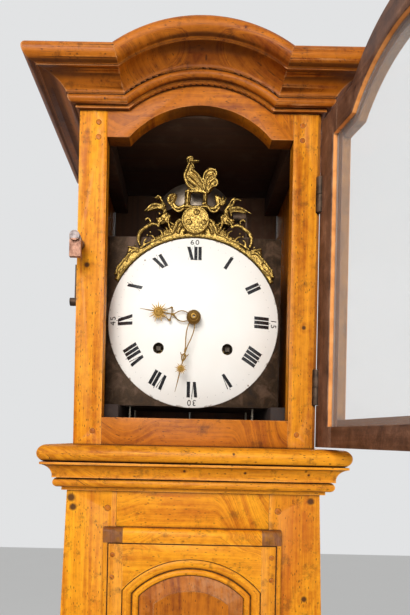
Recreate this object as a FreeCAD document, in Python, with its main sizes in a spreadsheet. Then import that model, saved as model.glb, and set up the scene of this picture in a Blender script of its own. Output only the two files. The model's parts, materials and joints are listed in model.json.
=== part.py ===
"""Longcase clock with a lift-off arched hood, a panelled case and an iron-cage movement.

Millimetres. +Z is up and the front faces -Y. The origin is on the floor, under the middle of the
case. Every size stands in the sheet below, and heights in the hood count from the hood's foot.
"""
import FreeCAD, Part
import math
import os
import re
import Sketcher
from FreeCAD import Placement, Rotation, Vector

SIZES = {
    "The case as a whole": {
        "swing_room": 23, "case_spread": 50, "hood_ledge": 7, "hood_foot": 1740,
        "frame_thickness": 24, "side_thickness": 20, "back_thickness": 12, "floor_thickness": 18,
        "case_stile": 68, "groove_depth": 8, "panel_thickness": 10, "panel_setback": 7,
        "field_margin": 34, "field_rise": 6, "panel_opening_foot": 190,
        "middle_rail": 110, "tenon_length": 44, "tenon_thickness": 8, "tenon_shoulder": 12,
        "peg_radius": 4, "peg_depth": 19, "peg_stand": 0.8, "peg_spacing": 92, "peg_drop": 24,
        "peg_inset": 12,
        "bevel_angle": 68, "cut_overrun": 2,
    },
    "Plinth and waist moulding": {
        "plinth_height": 120, "plinth_projection": 14, "plinth_step": 6, "plinth_cove": 18,
        "plinth_fillet": 3, "cove_sag_share": 0.28, "waist_quirk": 1.5,
        "waist_height": 61.5, "waist_projection": 33, "waist_nosing": 23, "waist_fillet": 3,
        "waist_cove_foot": 17, "waist_bead": 10, "waist_step": 6,
    },
    "Trunk door": {
        "door_foot": 700, "door_head": 111, "door_lap": 16, "door_lip": 13,
        "door_tongue": 12, "door_gap": 1.5, "door_face_gap": 0.3, "door_reveal": 11,
        "door_arch_step": 9, "door_arch_rise": 43, "door_rail_peak": 39, "door_foot_rail": 60,
        "door_panel_thickness": 9, "door_panel_setback": 6, "door_groove": 6, "door_band": 9,
        "door_band_depth": 4, "door_tenon": 21, "door_peg_inset": 13.5,
        "door_tenon_thickness": 6, "door_peg_radius": 3,
        "door_hinge_low": 160, "door_hinge_high": 150, "button_height": 1150, "door_cheek": 2,
        "door_tenon_shoulder": 6, "door_peg_step": 15, "door_field_share": 0.8,
        "door_arch_share": 0.8, "door_band_share": 0.8, "button_inset": 13,
    },
    "Hood": {
        "hood_stile": 38, "hood_frame": 22, "hood_side_thickness": 15, "hood_head_room": 194,
        "dial_reveal": 3, "hood_rail_top": 38, "hood_head": 80, "hood_arch_step": 30,
        "hood_arch_rise": 45, "ceiling_drop": 39, "hood_roof_thickness": 12, "batten_width": 23,
        "batten_height": 34, "slide_gap": 0.5, "hood_tenon": 20, "hood_tenon_thickness": 7,
        "hood_chamfer": 5, "hood_tenon_shoulder": 6, "hood_peg_drop": 70, "hood_peg_step": 10,
        "hood_peg_radius": 3.5, "hood_peg_inset": 12,
    },
    "Cornice": {
        "cornice_lap": 44, "cornice_height": 50, "cornice_projection": 62, "cornice_rise": 36,
        "cornice_break_step": 1, "cornice_fillet": 5, "cornice_bead": 9, "cornice_bead_step": 10,
        "cornice_cove_foot": 16, "cornice_cove_head": 47, "cornice_cove_rise": 25,
        "cornice_nosing": 22, "cornice_arch_drop": 4, "cornice_fillet_height": 5,
        "cornice_quirk": 1.5, "cove_height_share": 0.42, "cove_out_share": 0.3,
        "cove_up_share": 0.75,
    },
    "Hood door": {
        "open_angle": 103, "hood_door_foot": 3, "hood_door_drop": 54, "hood_door_thickness": 21,
        "hood_door_stile": 40, "hood_door_rail": 36, "hood_door_gap": 0.6, "glass_thickness": 2.2,
        "rebate_width": 9, "rebate_depth": 9, "glass_gap": 0.2, "hood_door_arch_step": 7,
        "hood_door_arch_rise": 43, "hood_door_head": 43, "hood_door_tenon": 20,
        "hood_door_tenon_thickness": 6, "hood_door_cheek": 4, "hood_door_tenon_shoulder": 6,
        "catch_room": 14,
    },
    "Hinges and catches": {
        "knuckle_radius": 4.5, "pin_radius": 2.5, "running_gap": 0.05, "knuckle_height": 24,
        "knuckle_gap": 0.5, "knuckle_room": 0.6, "leaf_length": 17, "leaf_thickness": 2,
        "hinge_drop": 100, "hinge_lower": 84, "catch_width": 15, "catch_height": 22,
        "catch_thickness": 7, "catch_stud_radius": 6.7, "catch_stud_height": 4, "catch_pivot": 272,
        "catch_pin_radius": 2.5, "catch_boss_radius": 6, "catch_pin_length": 14,
        "catch_inset": 3.5, "catch_drop": 4,
        "strap_width": 9, "strap_thickness": 2.5, "strap_head": 246, "strap_foot": 196,
        "strap_knob_radius": 5.5, "strap_knob_height": 7, "strap_setback": 3,
        "button_pin_radius": 2.5, "button_pin_length": 16, "button_boss_radius": 5.5,
        "button_knob_radius": 6, "button_knob_length": 9, "button_length": 34,
        "button_width": 10, "button_thickness": 3.5,
        "door_hinge_gap": 0.3, "hinge_inset": 1,
        "leaf_setback": 1, "knob_neck_share": 0.45, "knob_belly_share": 0.62,
    },
    "Movement cage": {
        "movement_offset": -4, "plate_margin": 3, "cage_depth": 150, "cage_foot": 58,
        "plate_thickness": 4, "post_width": 12, "post_inset": 6,
        "bar_width": 14, "bar_thickness": 6, "bar_inset": 2, "bearer_lap": 19,
        "bearer_drop": 60, "bearer_end": 100, "rope_slot_width": 12, "front_plate_thickness": 2,
        "bell_post_radius": 4, "suspension_width": 14,
        "suspension_height": 30,
    },
    "Dial and hands": {
        "dial_radius": 124, "dial_drop": 2, "dial_setback": 50, "dial_bulge": 26,
        "dial_rim": 3, "dial_wall": 2, "dial_hole_radius": 8, "winding_hole_radius": 7.8,
        "hand_thickness": 1.5,
        "hour_plane": 5, "minute_plane": 11, "minute_length": 106, "hour_length": 73,
        "minute_angle": 192.9, "hour_angle": 279.2, "minute_sun": 80, "hour_sun": 54,
        "sun_radius": 8, "sun_ray": 5.5, "loop_radius": 6.5, "loop_bar": 2,
        "stem_half": 1.6, "tip_half": 1.4, "boss_radius": 11, "boss_length": 8,
        "ornament_radius": 6, "pipe_radius": 6.5, "arbor_radius": 4, "collet_radius": 9,
        "sag_place_share": 0.5, "sag_height_share": 0.75, "boss_dome_share": 0.72,
    },
    "Trains and drums": {
        "drum_gap": 3, "drum_drop": 41, "drum_room": 43, "rope_radius": 1.75,
        "drum_front": 19, "drum_length": 84, "rope_layer_start": 10, "great_wheel_lip": 3,
        "wheel_thickness": 3, "flange_lip": 4, "square_length": 22, "square_width": 6,
        "centre_wheel_radius": 30, "anchor_gap": 12, "escape_radius": 28, "escape_arbor": 2.5,
        "anchor_top_room": 24, "wheel_plane": 50, "escape_plane": 40, "tooth_depth": 3.5,
        "pallet_clearance": 3, "pallet_width": 4, "rim_width": 6,
        "spoke_width": 5, "hub_radius": 8,
    },
    "Weights, pulleys and pendulum": {
        "rope_setback": 25, "pulley_radius": 40, "pulley_width": 12, "pulley_flange": 4,
        "axle_radius": 3, "stirrup_thickness": 3, "stirrup_width": 14, "stirrup_gap": 1,
        "weight_foot": 150, "weight_radius": 36, "weight_height": 190, "weight_neck": 34,
        "weight_rod_radius": 5, "pendulum_setback": 20, "pendulum_length": 990,
        "rod_radius": 2.5, "bob_radius": 70, "bob_thickness": 24, "bob_edge": 4,
        "rating_nut_radius": 9, "rating_nut_height": 10, "rod_tail": 34, "eye_radius": 7,
        "eye_half": 3.5,
        "crutch_length": 78, "crutch_radius": 2, "crutch_foot_half": 7, "rope_gap": 0.3,
        "weight_shoulder_share": 0.8, "weight_crown_share": 0.16,
    },
    "Bell and hammer": {
        "bell_lift": 55, "bell_radius": 60, "bell_height": 50, "bell_wall": 3,
        "bell_crown_radius": 26, "bell_nut_radius": 8, "bell_swell_share": 0.86,
        "bell_shoulder_share": 0.62, "bell_nut_height": 7, "hammer_reach": 24,
        "hammer_pivot_rise": 18, "hammer_lug": 14, "hammer_arbor": 3, "hammer_head_radius": 7,
        "hammer_head_length": 18, "hammer_rise": 46, "hammer_gap": 2, "hammer_arm_radius": 2.5,
        "hammer_span": 40,
    },
    "Crest": {
        "crest_thickness": 4, "crest_gap": 1.5, "crest_band": 7, "medallion_radius": 20,
        "medallion_rise": 5, "crest_band_angle": 62,
    },
}

FOLLOWS = {
    "cage_half": "dial_radius + plate_margin",
    "cage_height": "2 * dial_radius",
    "dial_height": "cage_foot + dial_radius - dial_drop",
    "anchor_height": "dial_radius - anchor_top_room",
    "escape_height": "anchor_height - escape_radius - anchor_gap",
    "drum_radius": "(cage_half - drum_room) / 2",
    "flange_radius": "drum_radius + flange_lip",
    "great_wheel_radius": "flange_radius + great_wheel_lip",
    "drum_spacing": "flange_radius + drum_gap",
    "bell_mouth": "cage_foot + cage_height + bell_lift",
    "hammer_pivot": "cage_foot + cage_height + hammer_pivot_rise",
    "hammer_offset": "bell_radius + hammer_reach",
    "bearer_inner_half": "cage_half - bearer_lap",
    "hood_opening_half": "dial_radius + dial_reveal",
    "hood_half": "hood_opening_half + hood_stile",
    "hood_arch_half": "hood_opening_half - hood_arch_step",
    "hood_top": "cage_foot + cage_height + hood_head_room",
    "hood_shoulder": "hood_top - hood_head",
    "hood_ceiling": "hood_top - ceiling_drop",
    "hood_peg_line": "hood_top - hood_peg_drop",
    "cornice_foot": "hood_top - cornice_lap",
    "cornice_break_half": "hood_arch_half + cornice_break_step",
    "hood_door_top": "hood_top - hood_door_drop",
    "hood_door_shoulder": "hood_door_top - hood_door_head",
    "hood_door_arch_half": "hood_arch_half - hood_door_arch_step",
    "hinge_upper": "hood_door_top - hinge_drop",
    "case_depth": "dial_setback + dial_rim + front_plate_thickness + cage_depth"
                  " + pendulum_setback + swing_room + back_thickness",
    "case_half_top": "hood_half + hood_ledge",
    "case_half_foot": "case_half_top + case_spread",
    "case_opening_half": "case_half_top - case_stile",
    "panel_opening_top": "door_foot - middle_rail",
    "door_top": "hood_foot - door_head",
    "door_sight_half": "case_opening_half - door_reveal",
    "door_arch_half": "door_sight_half - door_arch_step",
}

doc = FreeCAD.newDocument("longcase_clock")
sheet = doc.addObject("Spreadsheet::Sheet", "Sizes")
row = 1
for heading, values in SIZES.items():
    sheet.set(f"A{row}", heading)
    for alias, number in values.items():
        row += 1
        sheet.set(f"A{row}", alias.replace("_", " "))
        sheet.set(f"B{row}", str(number))
        sheet.setAlias(f"B{row}", alias)
    row += 1
doc.recompute()

WORDS = re.compile(r"\b[a-z]+(?:_[a-z]+)+\b")
nodes = {}
counter = {}


def cells(text):
    """An expression with each size's name turned into its cell, or into what it follows."""
    def cell(word):
        name = word.group(0)
        return f"({cells(FOLLOWS[name])})" if name in FOLLOWS else "Sizes." + name
    return WORDS.sub(cell, str(text))


def size(text):
    """The value that an expression of named sizes has now."""
    return float(sheet.evalExpression(cells(text)))


def bind(item, field, text):
    """Tie one field of an object to an expression of named sizes."""
    item.setExpression(field, cells(text))


def fresh(name):
    """A document name that no other object has."""
    counter[name] = counter.get(name, 0) + 1
    return name if counter[name] == 1 else f"{name}_{counter[name]}"


def node(label, item):
    """Name a finished sub-part."""
    item.Label = label
    nodes[label] = item
    return item


def board(name, x, y, z):
    """A squared piece between two stations on each axis."""
    item = doc.addObject("Part::Box", fresh(name))
    for side, letter, (low, high) in zip(("Length", "Width", "Height"), "xyz", (x, y, z)):
        bind(item, side, f"({high}) - ({low})")
        bind(item, f"Placement.Base.{letter}", low)
    return item


TURNS = {"x": Rotation(Vector(0, 1, 0), 90), "y": Rotation(Vector(1, 0, 0), -90),
         "front": Rotation(Vector(1, 0, 0), 90), "z": Rotation()}


def rod(name, axis, centre, span, radius):
    """A round bar along an axis, from one station to another; centre gives the other two."""
    item = doc.addObject("Part::Cylinder", fresh(name))
    item.Placement = Placement(Vector(), TURNS[axis])
    others = [letter for letter in "xyz" if letter != axis]
    for letter, place in zip(others, centre):
        bind(item, f"Placement.Base.{letter}", place)
    bind(item, f"Placement.Base.{axis}", span[0])
    bind(item, "Height", f"({span[1]}) - ({span[0]})")
    bind(item, "Radius", radius)
    return item


def fused(name, parts, refine=True):
    """Several shapes grown into one solid."""
    item = doc.addObject("Part::MultiFuse", fresh(name))
    item.Shapes = list(parts)
    item.Refine = refine
    return item


def group(name, parts):
    """Separate solids that share a node."""
    item = doc.addObject("Part::Compound", fresh(name))
    item.Links = list(parts)
    return item


def cut(name, base, tools, refine=True):
    """A shape with others taken out of it."""
    item = doc.addObject("Part::Cut", fresh(name))
    item.Base = base
    item.Tool = tools[0] if len(tools) == 1 else fused(name + "_tools", tools, False)
    item.Refine = refine
    return item


def common(name, first, second):
    """What two shapes share."""
    item = doc.addObject("Part::Common", fresh(name))
    item.Base = first
    item.Tool = second
    item.Refine = True
    return item


def plane_of(body, role):
    """One of a body's own origin planes."""
    return next(item for item in body.Origin.OriginFeatures if item.Role == role)


def draw(body, name, plane, points, offset="0"):
    """A closed sketch. A point is (a, b), or (a, b, c, d) where an arc through (c, d) follows."""
    sketch = body.newObject("Sketcher::SketchObject", fresh(name))
    sketch.AttachmentSupport = [(plane_of(body, plane), "")]
    sketch.MapMode = "FlatFace"
    bind(sketch, "AttachmentOffset.Base.z", offset)
    outline_into(sketch, points)
    return sketch


def outline_into(sketch, points, closed=True):
    """Edges through named points, each point held by its two distances from the sketch's origin."""
    places = [Vector(size(point[0]), size(point[1]), 0) for point in points]
    count = len(points) if closed else len(points) - 1
    ends = []
    held = []
    for index in range(count):
        start = places[index]
        finish = places[(index + 1) % len(points)]
        if len(points[index]) == 2:
            edge = sketch.addGeometry(Part.LineSegment(start, finish))
            ends.append(((edge, 1), (edge, 2)))
            continue
        through = Vector(size(points[index][2]), size(points[index][3]), 0)
        anticlockwise = (through - start).cross(finish - through).z > 0
        first, last = (start, finish) if anticlockwise else (finish, start)
        edge = sketch.addGeometry(Part.Arc(first, through, last))
        ends.append(((edge, 1), (edge, 2)) if anticlockwise else ((edge, 2), (edge, 1)))
        mark = sketch.addGeometry(Part.Point(through), True)
        sketch.addConstraint(Sketcher.Constraint("PointOnObject", mark, 1, edge))
        held.append((mark, 1, points[index][2:], through))
    joints = range(count) if closed else range(count - 1)
    for index in joints:
        after = ends[(index + 1) % count][0]
        sketch.addConstraint(Sketcher.Constraint("Coincident", *ends[index][1], *after))
    for index in range(count):
        held.append((*ends[index][0], points[index][:2], places[index]))
    if not closed:
        held.append((*ends[-1][1], points[-1][:2], places[-1]))
    for edge, end, texts, place in held:
        for kind, text, number in zip(("DistanceX", "DistanceY"), texts, place):
            rule = sketch.addConstraint(Sketcher.Constraint(kind, -1, 1, edge, end, number))
            bind(sketch, f"Constraints[{rule}]", text)


def outline(name, plane, points, span, taper=None):
    """A flat piece: an outline on a plane, given thickness between two stations."""
    body = doc.addObject("PartDesign::Body", fresh(name))
    low, high = span
    start = f"-({high})" if plane == "XZ_Plane" else low
    sketch = draw(body, name + "_outline", plane, points, start)
    pad = body.newObject("PartDesign::Pad", fresh(name + "_pad"))
    pad.Profile = sketch
    bind(pad, "Length", f"({high}) - ({low})")
    if taper:
        bind(pad, "TaperAngle", taper)
    return body


def turned(name, points, axis="z", base=("0", "0", "0")):
    """A turned piece: half its section, as (radius, height), spun round an axis through base."""
    body = doc.addObject("PartDesign::Body", fresh(name))
    sketch = draw(body, name + "_section", "XZ_Plane", points)
    spin = body.newObject("PartDesign::Revolution", fresh(name + "_spin"))
    spin.Profile = sketch
    spin.ReferenceAxis = (sketch, ["V_Axis"])
    spin.Angle = 360
    body.Placement = Placement(Vector(), TURNS[axis])
    for letter, place in zip("xyz", base):
        bind(body, f"Placement.Base.{letter}", place)
    return body


def mirrored(name, item):
    """The same piece on the other side of the middle."""
    copy = doc.addObject("Part::Mirroring", fresh(name))
    copy.Source = item
    copy.Normal = Vector(1, 0, 0)
    return copy


def placed(profile, across, base):
    """A section moved onto a wall: across turns a projection into a place on the sketch."""
    points = []
    for point in profile:
        moved = []
        for index, text in enumerate(point):
            moved.append(across(text) if index % 2 == 0 else f"{base} + ({text})")
        points.append(tuple(moved))
    return points


def mitred(name, profile, half, projection, height):
    """A moulding on the front and both sides, in three lengths mitred at the front corners.

    The profile is (projection, height) pairs on the wall's face, half is the wall's half width.
    """
    low, high = height
    out = f"({half}) + {projection}"
    front_points = placed(profile, lambda text: f"{FRONT} - ({text})", "0")
    length = outline(name + "_run", "YZ_Plane", front_points, (f"-({out})", out))
    plan = [(f"-({half})", FRONT), (half, FRONT), (out, f"{FRONT} - {projection}"),
            (f"-({out})", f"{FRONT} - {projection}")]
    front = common(name + "_front", length, outline(name + "_plan", "XY_Plane", plan, height))
    side_points = placed(profile, lambda text: f"({half}) + ({text})", "0")
    return_run = outline(name + "_side_run", "XZ_Plane", side_points,
                         (f"{FRONT} - {projection}", BACK))
    return_plan = [(half, FRONT), (out, f"{FRONT} - {projection}"), (out, BACK), (half, BACK)]
    right = common(name + "_right", return_run,
                   outline(name + "_side_plan", "XY_Plane", return_plan, height))
    return front, right, mirrored(name + "_left", right)


FRONT = "(-case_depth / 2)"
BACK = "(case_depth / 2)"
INNER_FRONT = f"({FRONT} + frame_thickness)"
INNER_BACK = f"({BACK} - back_thickness)"
WAIST = "(hood_foot - waist_height)"
SLOPE = f"((case_half_foot - case_half_top) / ({WAIST} - plinth_height))"


def above(height):
    """A height that counts from the hood's foot."""
    return f"(hood_foot + {height})"


def case_edge(inset):
    """The outer line of the case at one side, from the floor to the hood's foot."""
    return [(f"case_half_foot - ({inset})", "0"), (f"case_half_foot - ({inset})", "plinth_height"),
            (f"case_half_top - ({inset})", WAIST), (f"case_half_top - ({inset})", "hood_foot")]


def flipped(points):
    """The same line on the other side of the middle, run through backwards."""
    return [(f"-({point[0]})", point[1]) for point in reversed(points)]


def peg_pair(centres, span, radius, name):
    """Two or more pegs driven from the front."""
    return [rod(name, "y", centre, span, radius) for centre in centres]


def fielded_panel(name, tongue, field, y):
    """A panel with a thin tongue all round and a raised, bevelled field on its front."""
    field_y = (f"{y[0]} - field_rise", y[0])
    raised = outline(name + "_field", "XZ_Plane", field, field_y, "-bevel_angle")
    return fused(name, [tongue, raised])


def case_frame():
    """Stiles, rails and the fixed lower panel, pegged through their tenons."""
    face = (FRONT, INNER_FRONT)
    middle = f"({FRONT} + frame_thickness / 2)"
    tenon_y = (f"{middle} - tenon_thickness / 2", f"{middle} + tenon_thickness / 2")
    rails = {
        "case_bottom_rail": ("0", "panel_opening_foot"),
        "case_middle_rail": ("panel_opening_top", "door_foot + door_lap"),
        "case_top_rail": ("door_top - door_lap", "hood_foot"),
    }
    peg_heights = {
        "case_bottom_rail": ["plinth_height + peg_drop"],
        "case_middle_rail": ["panel_opening_top + peg_spacing", "panel_opening_top + peg_drop"],
        "case_top_rail": [f"{WAIST} - peg_drop"],
    }
    panel_y = (f"({FRONT} + panel_setback)", f"({FRONT} + panel_setback + panel_thickness)")
    wide = "(case_opening_half + groove_depth)"
    tongue = board("lower_panel_tongue", (f"-{wide}", wide), panel_y,
                   ("panel_opening_foot - groove_depth", "panel_opening_top + groove_depth"))
    field_half = "(case_opening_half - field_margin)"
    field = [(f"-{field_half}", "panel_opening_foot + field_margin"),
             (field_half, "panel_opening_foot + field_margin"),
             (field_half, "panel_opening_top - field_margin"),
             (f"-{field_half}", "panel_opening_top - field_margin")]
    node("lower_panel", fielded_panel("lower_panel", tongue, field, panel_y))
    tenons, pegs = {}, []
    reach = "(case_opening_half + tenon_length)"
    for label, (low, high) in rails.items():
        tenons[label] = board(label + "_tenon", (f"-{reach}", reach), tenon_y,
                              (f"{low} + tenon_shoulder", f"{high} - tenon_shoulder"))
        centres = [(f"{side}(case_opening_half + peg_inset)", height)
                   for side in "-+" for height in peg_heights[label]]
        pegs += peg_pair(centres, (f"{FRONT} - peg_stand", f"{FRONT} + peg_depth"),
                         "peg_radius", "case_peg")
    for label, span in rails.items():
        blank = board(label + "_blank", ("-case_opening_half", "case_opening_half"), face, span)
        joined = fused(label + "_joined", [blank, tenons[label]])
        node(label, cut(label, joined, pegs + [tongue]))
    node("case_pegs", group("case_pegs", pegs))
    points = [("case_opening_half", "0"), *case_edge("0"), ("case_opening_half", "hood_foot")]
    hinge_cuts = trunk_door_hinges("case_hinges", "+")
    cutters = list(tenons.values()) + pegs + [tongue]
    for label, line, extra in (("case_left_stile", flipped(points), [button_hole()]),
                               ("case_right_stile", points, hinge_cuts)):
        node(label, cut(label, outline(label + "_blank", "XZ_Plane", line, face),
                        cutters + extra))


def case_box():
    """Plank sides, back board, floor and the battens that carry the movement."""
    depth = (INNER_FRONT, INNER_BACK)
    inner = list(reversed(case_edge("side_thickness")))
    side = case_edge("0") + inner
    node("case_right_side", outline("case_right_side", "XZ_Plane", side, depth))
    node("case_left_side", outline("case_left_side", "XZ_Plane", flipped(side), depth))
    tall = [(HOOD_INNER, "hood_foot"), (HOOD_INNER, above("hood_ceiling - slide_gap"))]
    back = case_edge("0") + tall
    node("back_board", outline("back_board", "XZ_Plane", back + flipped(back),
                               (INNER_BACK, BACK)))
    base = "case_half_foot - side_thickness"
    node("bottom_board", board("bottom_board", (f"-({base})", base), (INNER_FRONT, INNER_BACK),
                               ("0", "floor_thickness")))
    wall = "(case_half_top - side_thickness)"
    bearer = [("bearer_inner_half", "hood_foot - bearer_drop"),
              (wall, "hood_foot - bearer_drop"), (wall, "hood_foot"),
              (HOOD_INNER, "hood_foot"), (HOOD_INNER, above("cage_foot")),
              ("bearer_inner_half", above("cage_foot"))]
    span = ("-bearer_end", INNER_BACK)
    node("movement_bearers", group("movement_bearers", [
        outline("right_bearer", "XZ_Plane", bearer, span),
        outline("left_bearer", "XZ_Plane", flipped(bearer), span)]))


def mouldings():
    """The plinth round the foot and the moulding that the hood stands on."""
    plinth = [("0", "0"), ("plinth_projection", "0"),
              ("plinth_projection", "plinth_height - plinth_cove - plinth_step"),
              ("plinth_projection - plinth_fillet", "plinth_height - plinth_cove - plinth_step"),
              ("plinth_projection - plinth_fillet", "plinth_height - plinth_cove",
               "plinth_projection / 2 - plinth_fillet / 2",
               "plinth_height - plinth_cove * cove_sag_share"),
              ("plinth_fillet", "plinth_height"), ("0", "plinth_height")]
    node("plinth", group("plinth", mitred("plinth", plinth, "case_half_foot",
                                          "plinth_projection", ("0", "plinth_height"))))
    bead_foot = f"({WAIST} + waist_step)"
    bead_top = f"({bead_foot} + waist_bead)"
    cove_foot = f"({bead_top} + waist_quirk)"
    nosing_foot = "(hood_foot - waist_nosing)"
    cove_head = f"({nosing_foot} - waist_fillet)"
    bead_out = "(waist_step + waist_bead)"
    cove_out = "(waist_projection - waist_fillet)"
    waist = [("0", WAIST), ("waist_step", WAIST), ("waist_step", bead_foot,
              bead_out, f"({bead_foot} + {bead_top}) / 2"), ("waist_step", bead_top),
             ("waist_step", cove_foot), ("waist_cove_foot", cove_foot,
              f"waist_cove_foot + ({cove_out} - waist_cove_foot) * cove_sag_share",
              f"{cove_head} - ({cove_head} - {cove_foot}) * cove_sag_share"),
             (cove_out, cove_head), (cove_out, nosing_foot),
             ("waist_projection - waist_nosing / 2", nosing_foot,
              "waist_projection", "hood_foot - waist_nosing / 2"),
             ("waist_projection - waist_nosing / 2", "hood_foot"), ("0", "hood_foot")]
    node("waist_moulding", group("waist_moulding", mitred("waist", waist, "case_half_top",
                                 "waist_projection", (WAIST, "hood_foot"))))


def arched(half, foot, shoulder, arch_half, rise):
    """An opening's outline: square below, with level shoulders and a round arch above."""
    crown = f"({shoulder}) + ({rise})"
    points = [(f"-({half})", foot), (half, foot), (half, shoulder),
              (arch_half, shoulder, "0", crown), (f"-({arch_half})", shoulder),
              (f"-({half})", shoulder)]
    return points if half != arch_half else points[:2] + points[3:5]


DOOR_SHOULDER = "(door_top - door_rail_peak - door_arch_rise)"
DOOR_FRONT = f"({FRONT} - door_lip)"
DOOR_BACK = f"({FRONT} + door_tongue)"
DOOR_FACE = f"({FRONT} - door_face_gap)"
DOOR_TENON_Y = (f"({DOOR_FACE} - door_tenon_thickness - door_cheek)", f"({DOOR_FACE} - door_cheek)")
DOOR_PANEL_Y = (f"({DOOR_FRONT} + door_panel_setback)",
                f"({DOOR_FRONT} + door_panel_setback + door_panel_thickness)")
DOOR_HALF = "(case_opening_half - door_gap)"
DOOR_OUT = "(case_opening_half + door_lap)"


def lipped(name, x_front, x_back, z_front, z_back):
    """A door member: a lip that laps over the case and a tongue that fits the opening."""
    lip = board(name + "_lip", x_front, (DOOR_FRONT, DOOR_FACE), z_front)
    inside = board(name + "_inside", x_back, (DOOR_FACE, DOOR_BACK), z_back)
    return fused(name + "_member", [lip, inside])


def trunk_door():
    """A lipped frame with an arched head, pegged tenons and an arched fielded panel."""
    tongue_low = "(door_foot + door_lap + door_gap)"
    tongue_high = "(door_top - door_lap - door_gap)"
    sight_foot = "(door_foot + door_foot_rail)"
    groove = "door_groove"
    tongue = outline("door_panel_tongue", "XZ_Plane", arched(
        f"door_sight_half + {groove}", f"{sight_foot} - {groove}",
        f"{DOOR_SHOULDER} + {groove}", "door_arch_half", "door_arch_rise"), DOOR_PANEL_Y)
    margin = "field_margin * door_field_share"
    field = arched(f"door_sight_half - {margin}", f"{sight_foot} + {margin}",
                   f"{DOOR_SHOULDER} - {margin}", f"door_arch_half - {margin}",
                   "door_arch_rise * door_arch_share")
    node("door_panel", fielded_panel("door_panel", tongue, field, DOOR_PANEL_Y))
    band = outline("door_band", "XZ_Plane", arched(
        f"door_sight_half + door_band", f"{sight_foot} - door_band",
        f"{DOOR_SHOULDER} + door_band * door_band_share", "door_arch_half", "door_arch_rise"),
        (f"{DOOR_FRONT} - door_band_depth", f"{DOOR_FRONT} + door_band_depth"))
    rails = {"door_bottom_rail": (sight_foot, "door_foot", tongue_low),
             "door_top_rail": (DOOR_SHOULDER, "door_top", tongue_high)}
    opening = outline("door_sight", "XZ_Plane", arched(
        "door_sight_half", sight_foot, DOOR_SHOULDER, "door_arch_half", "door_arch_rise"),
        (f"{DOOR_FRONT} - cut_overrun", f"{DOOR_BACK} + cut_overrun"))
    tenons, pegs, blanks = [], [], {}
    reach = "(door_sight_half + door_tenon)"
    for label, (inner, outer, tongue_end) in rails.items():
        upper = label == "door_top_rail"
        shoulder = "door_tenon_shoulder"
        span = (f"{inner} + {shoulder}", f"{tongue_end} - {shoulder}") if upper else (
            f"{tongue_end} + {shoulder}", f"{inner} - {shoulder}")
        tenons.append(board(label + "_tenon", (f"-{reach}", reach), DOOR_TENON_Y, span))
        middle = f"(({span[0]}) + ({span[1]})) / 2"
        centres = [(f"{side}(door_sight_half + door_peg_inset)", f"{middle} {rank} door_peg_step")
                   for side in "-+" for rank in "-+"]
        pegs += peg_pair(centres, (f"{DOOR_FRONT} - peg_stand", f"{DOOR_FACE} - running_gap"),
                         "door_peg_radius", "door_peg")
        wide = ("-door_sight_half", "door_sight_half")
        z_front = (inner, outer) if upper else (outer, inner)
        z_back = (inner, tongue_end) if upper else (tongue_end, inner)
        blanks[label] = fused(label + "_blank", [
            lipped(label, wide, wide, z_front, z_back), tenons[-1]])
    for label, blank in blanks.items():
        node(label, cut(label, blank, [opening, band, tongue] + pegs))
    node("door_pegs", group("door_pegs", pegs))
    hinge_cuts = trunk_door_hinges("door_hinges", "-")
    z_front = ("door_foot", "door_top")
    z_back = (tongue_low, tongue_high)
    cutters = tenons + pegs + [band, tongue]
    right = lipped("door_right_stile", ("door_sight_half", DOOR_OUT),
                   ("door_sight_half", DOOR_HALF), z_front, z_back)
    left = lipped("door_left_stile", (f"-{DOOR_OUT}", "-door_sight_half"),
                  (f"-{DOOR_HALF}", "-door_sight_half"), z_front, z_back)
    node("door_right_stile", cut("door_right_stile", right, cutters + hinge_cuts))
    node("door_left_stile", cut("door_left_stile", left, cutters))


BUTTON_X = f"(-{DOOR_OUT} - button_inset)"


def button_hole():
    """The hole in the case's left stile for the turn button's pin."""
    return rod("button_hole", "y", (BUTTON_X, "button_height"), (f"{FRONT} - cut_overrun",
               f"{FRONT} + button_pin_length + running_gap"), "button_pin_radius + running_gap")


def turn_button():
    """The turning finger on the case's left stile that laps over the trunk door's lip."""
    back = f"({FRONT} - slide_gap)"
    face = f"({DOOR_FRONT} - slide_gap)"
    middle = (BUTTON_X, "button_height")
    boss = rod("button_boss", "y", middle, (face, back), "button_boss_radius")
    pin = rod("button_pin", "y", middle, (face, f"{FRONT} + button_pin_length"),
              "button_pin_radius")
    finger = board("button_finger", (f"{BUTTON_X} - button_width / 2",
                   f"{BUTTON_X} + button_width / 2"), (f"{face} - button_thickness", face),
                   ("button_height - button_length", "button_height + button_width / 2"))
    knob = turned("button_knob", [
        ("0", "0"), ("button_knob_radius * knob_neck_share", "0"),
        ("button_knob_radius * knob_neck_share", "button_knob_length / 4",
         "button_knob_radius", "button_knob_length * knob_belly_share"),
        ("button_knob_radius / 3", "button_knob_length"), ("0", "button_knob_length")], "front",
        (BUTTON_X, f"{face} - button_thickness", "button_height"))
    node("door_turn_button", fused("door_turn_button", [boss, pin, finger, knob]))


def pin_bore(name, centre, span):
    """The hole that a hinge's pin turns in, a little longer than its barrel."""
    return rod(name, "z", centre, (f"{span[0]} - cut_overrun", f"{span[1]} + cut_overrun"),
               "pin_radius + running_gap")


HINGE_X = f"({DOOR_OUT} + knuckle_radius + door_hinge_gap)"
HINGE_Y = f"({FRONT} - knuckle_radius - door_hinge_gap)"


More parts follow.
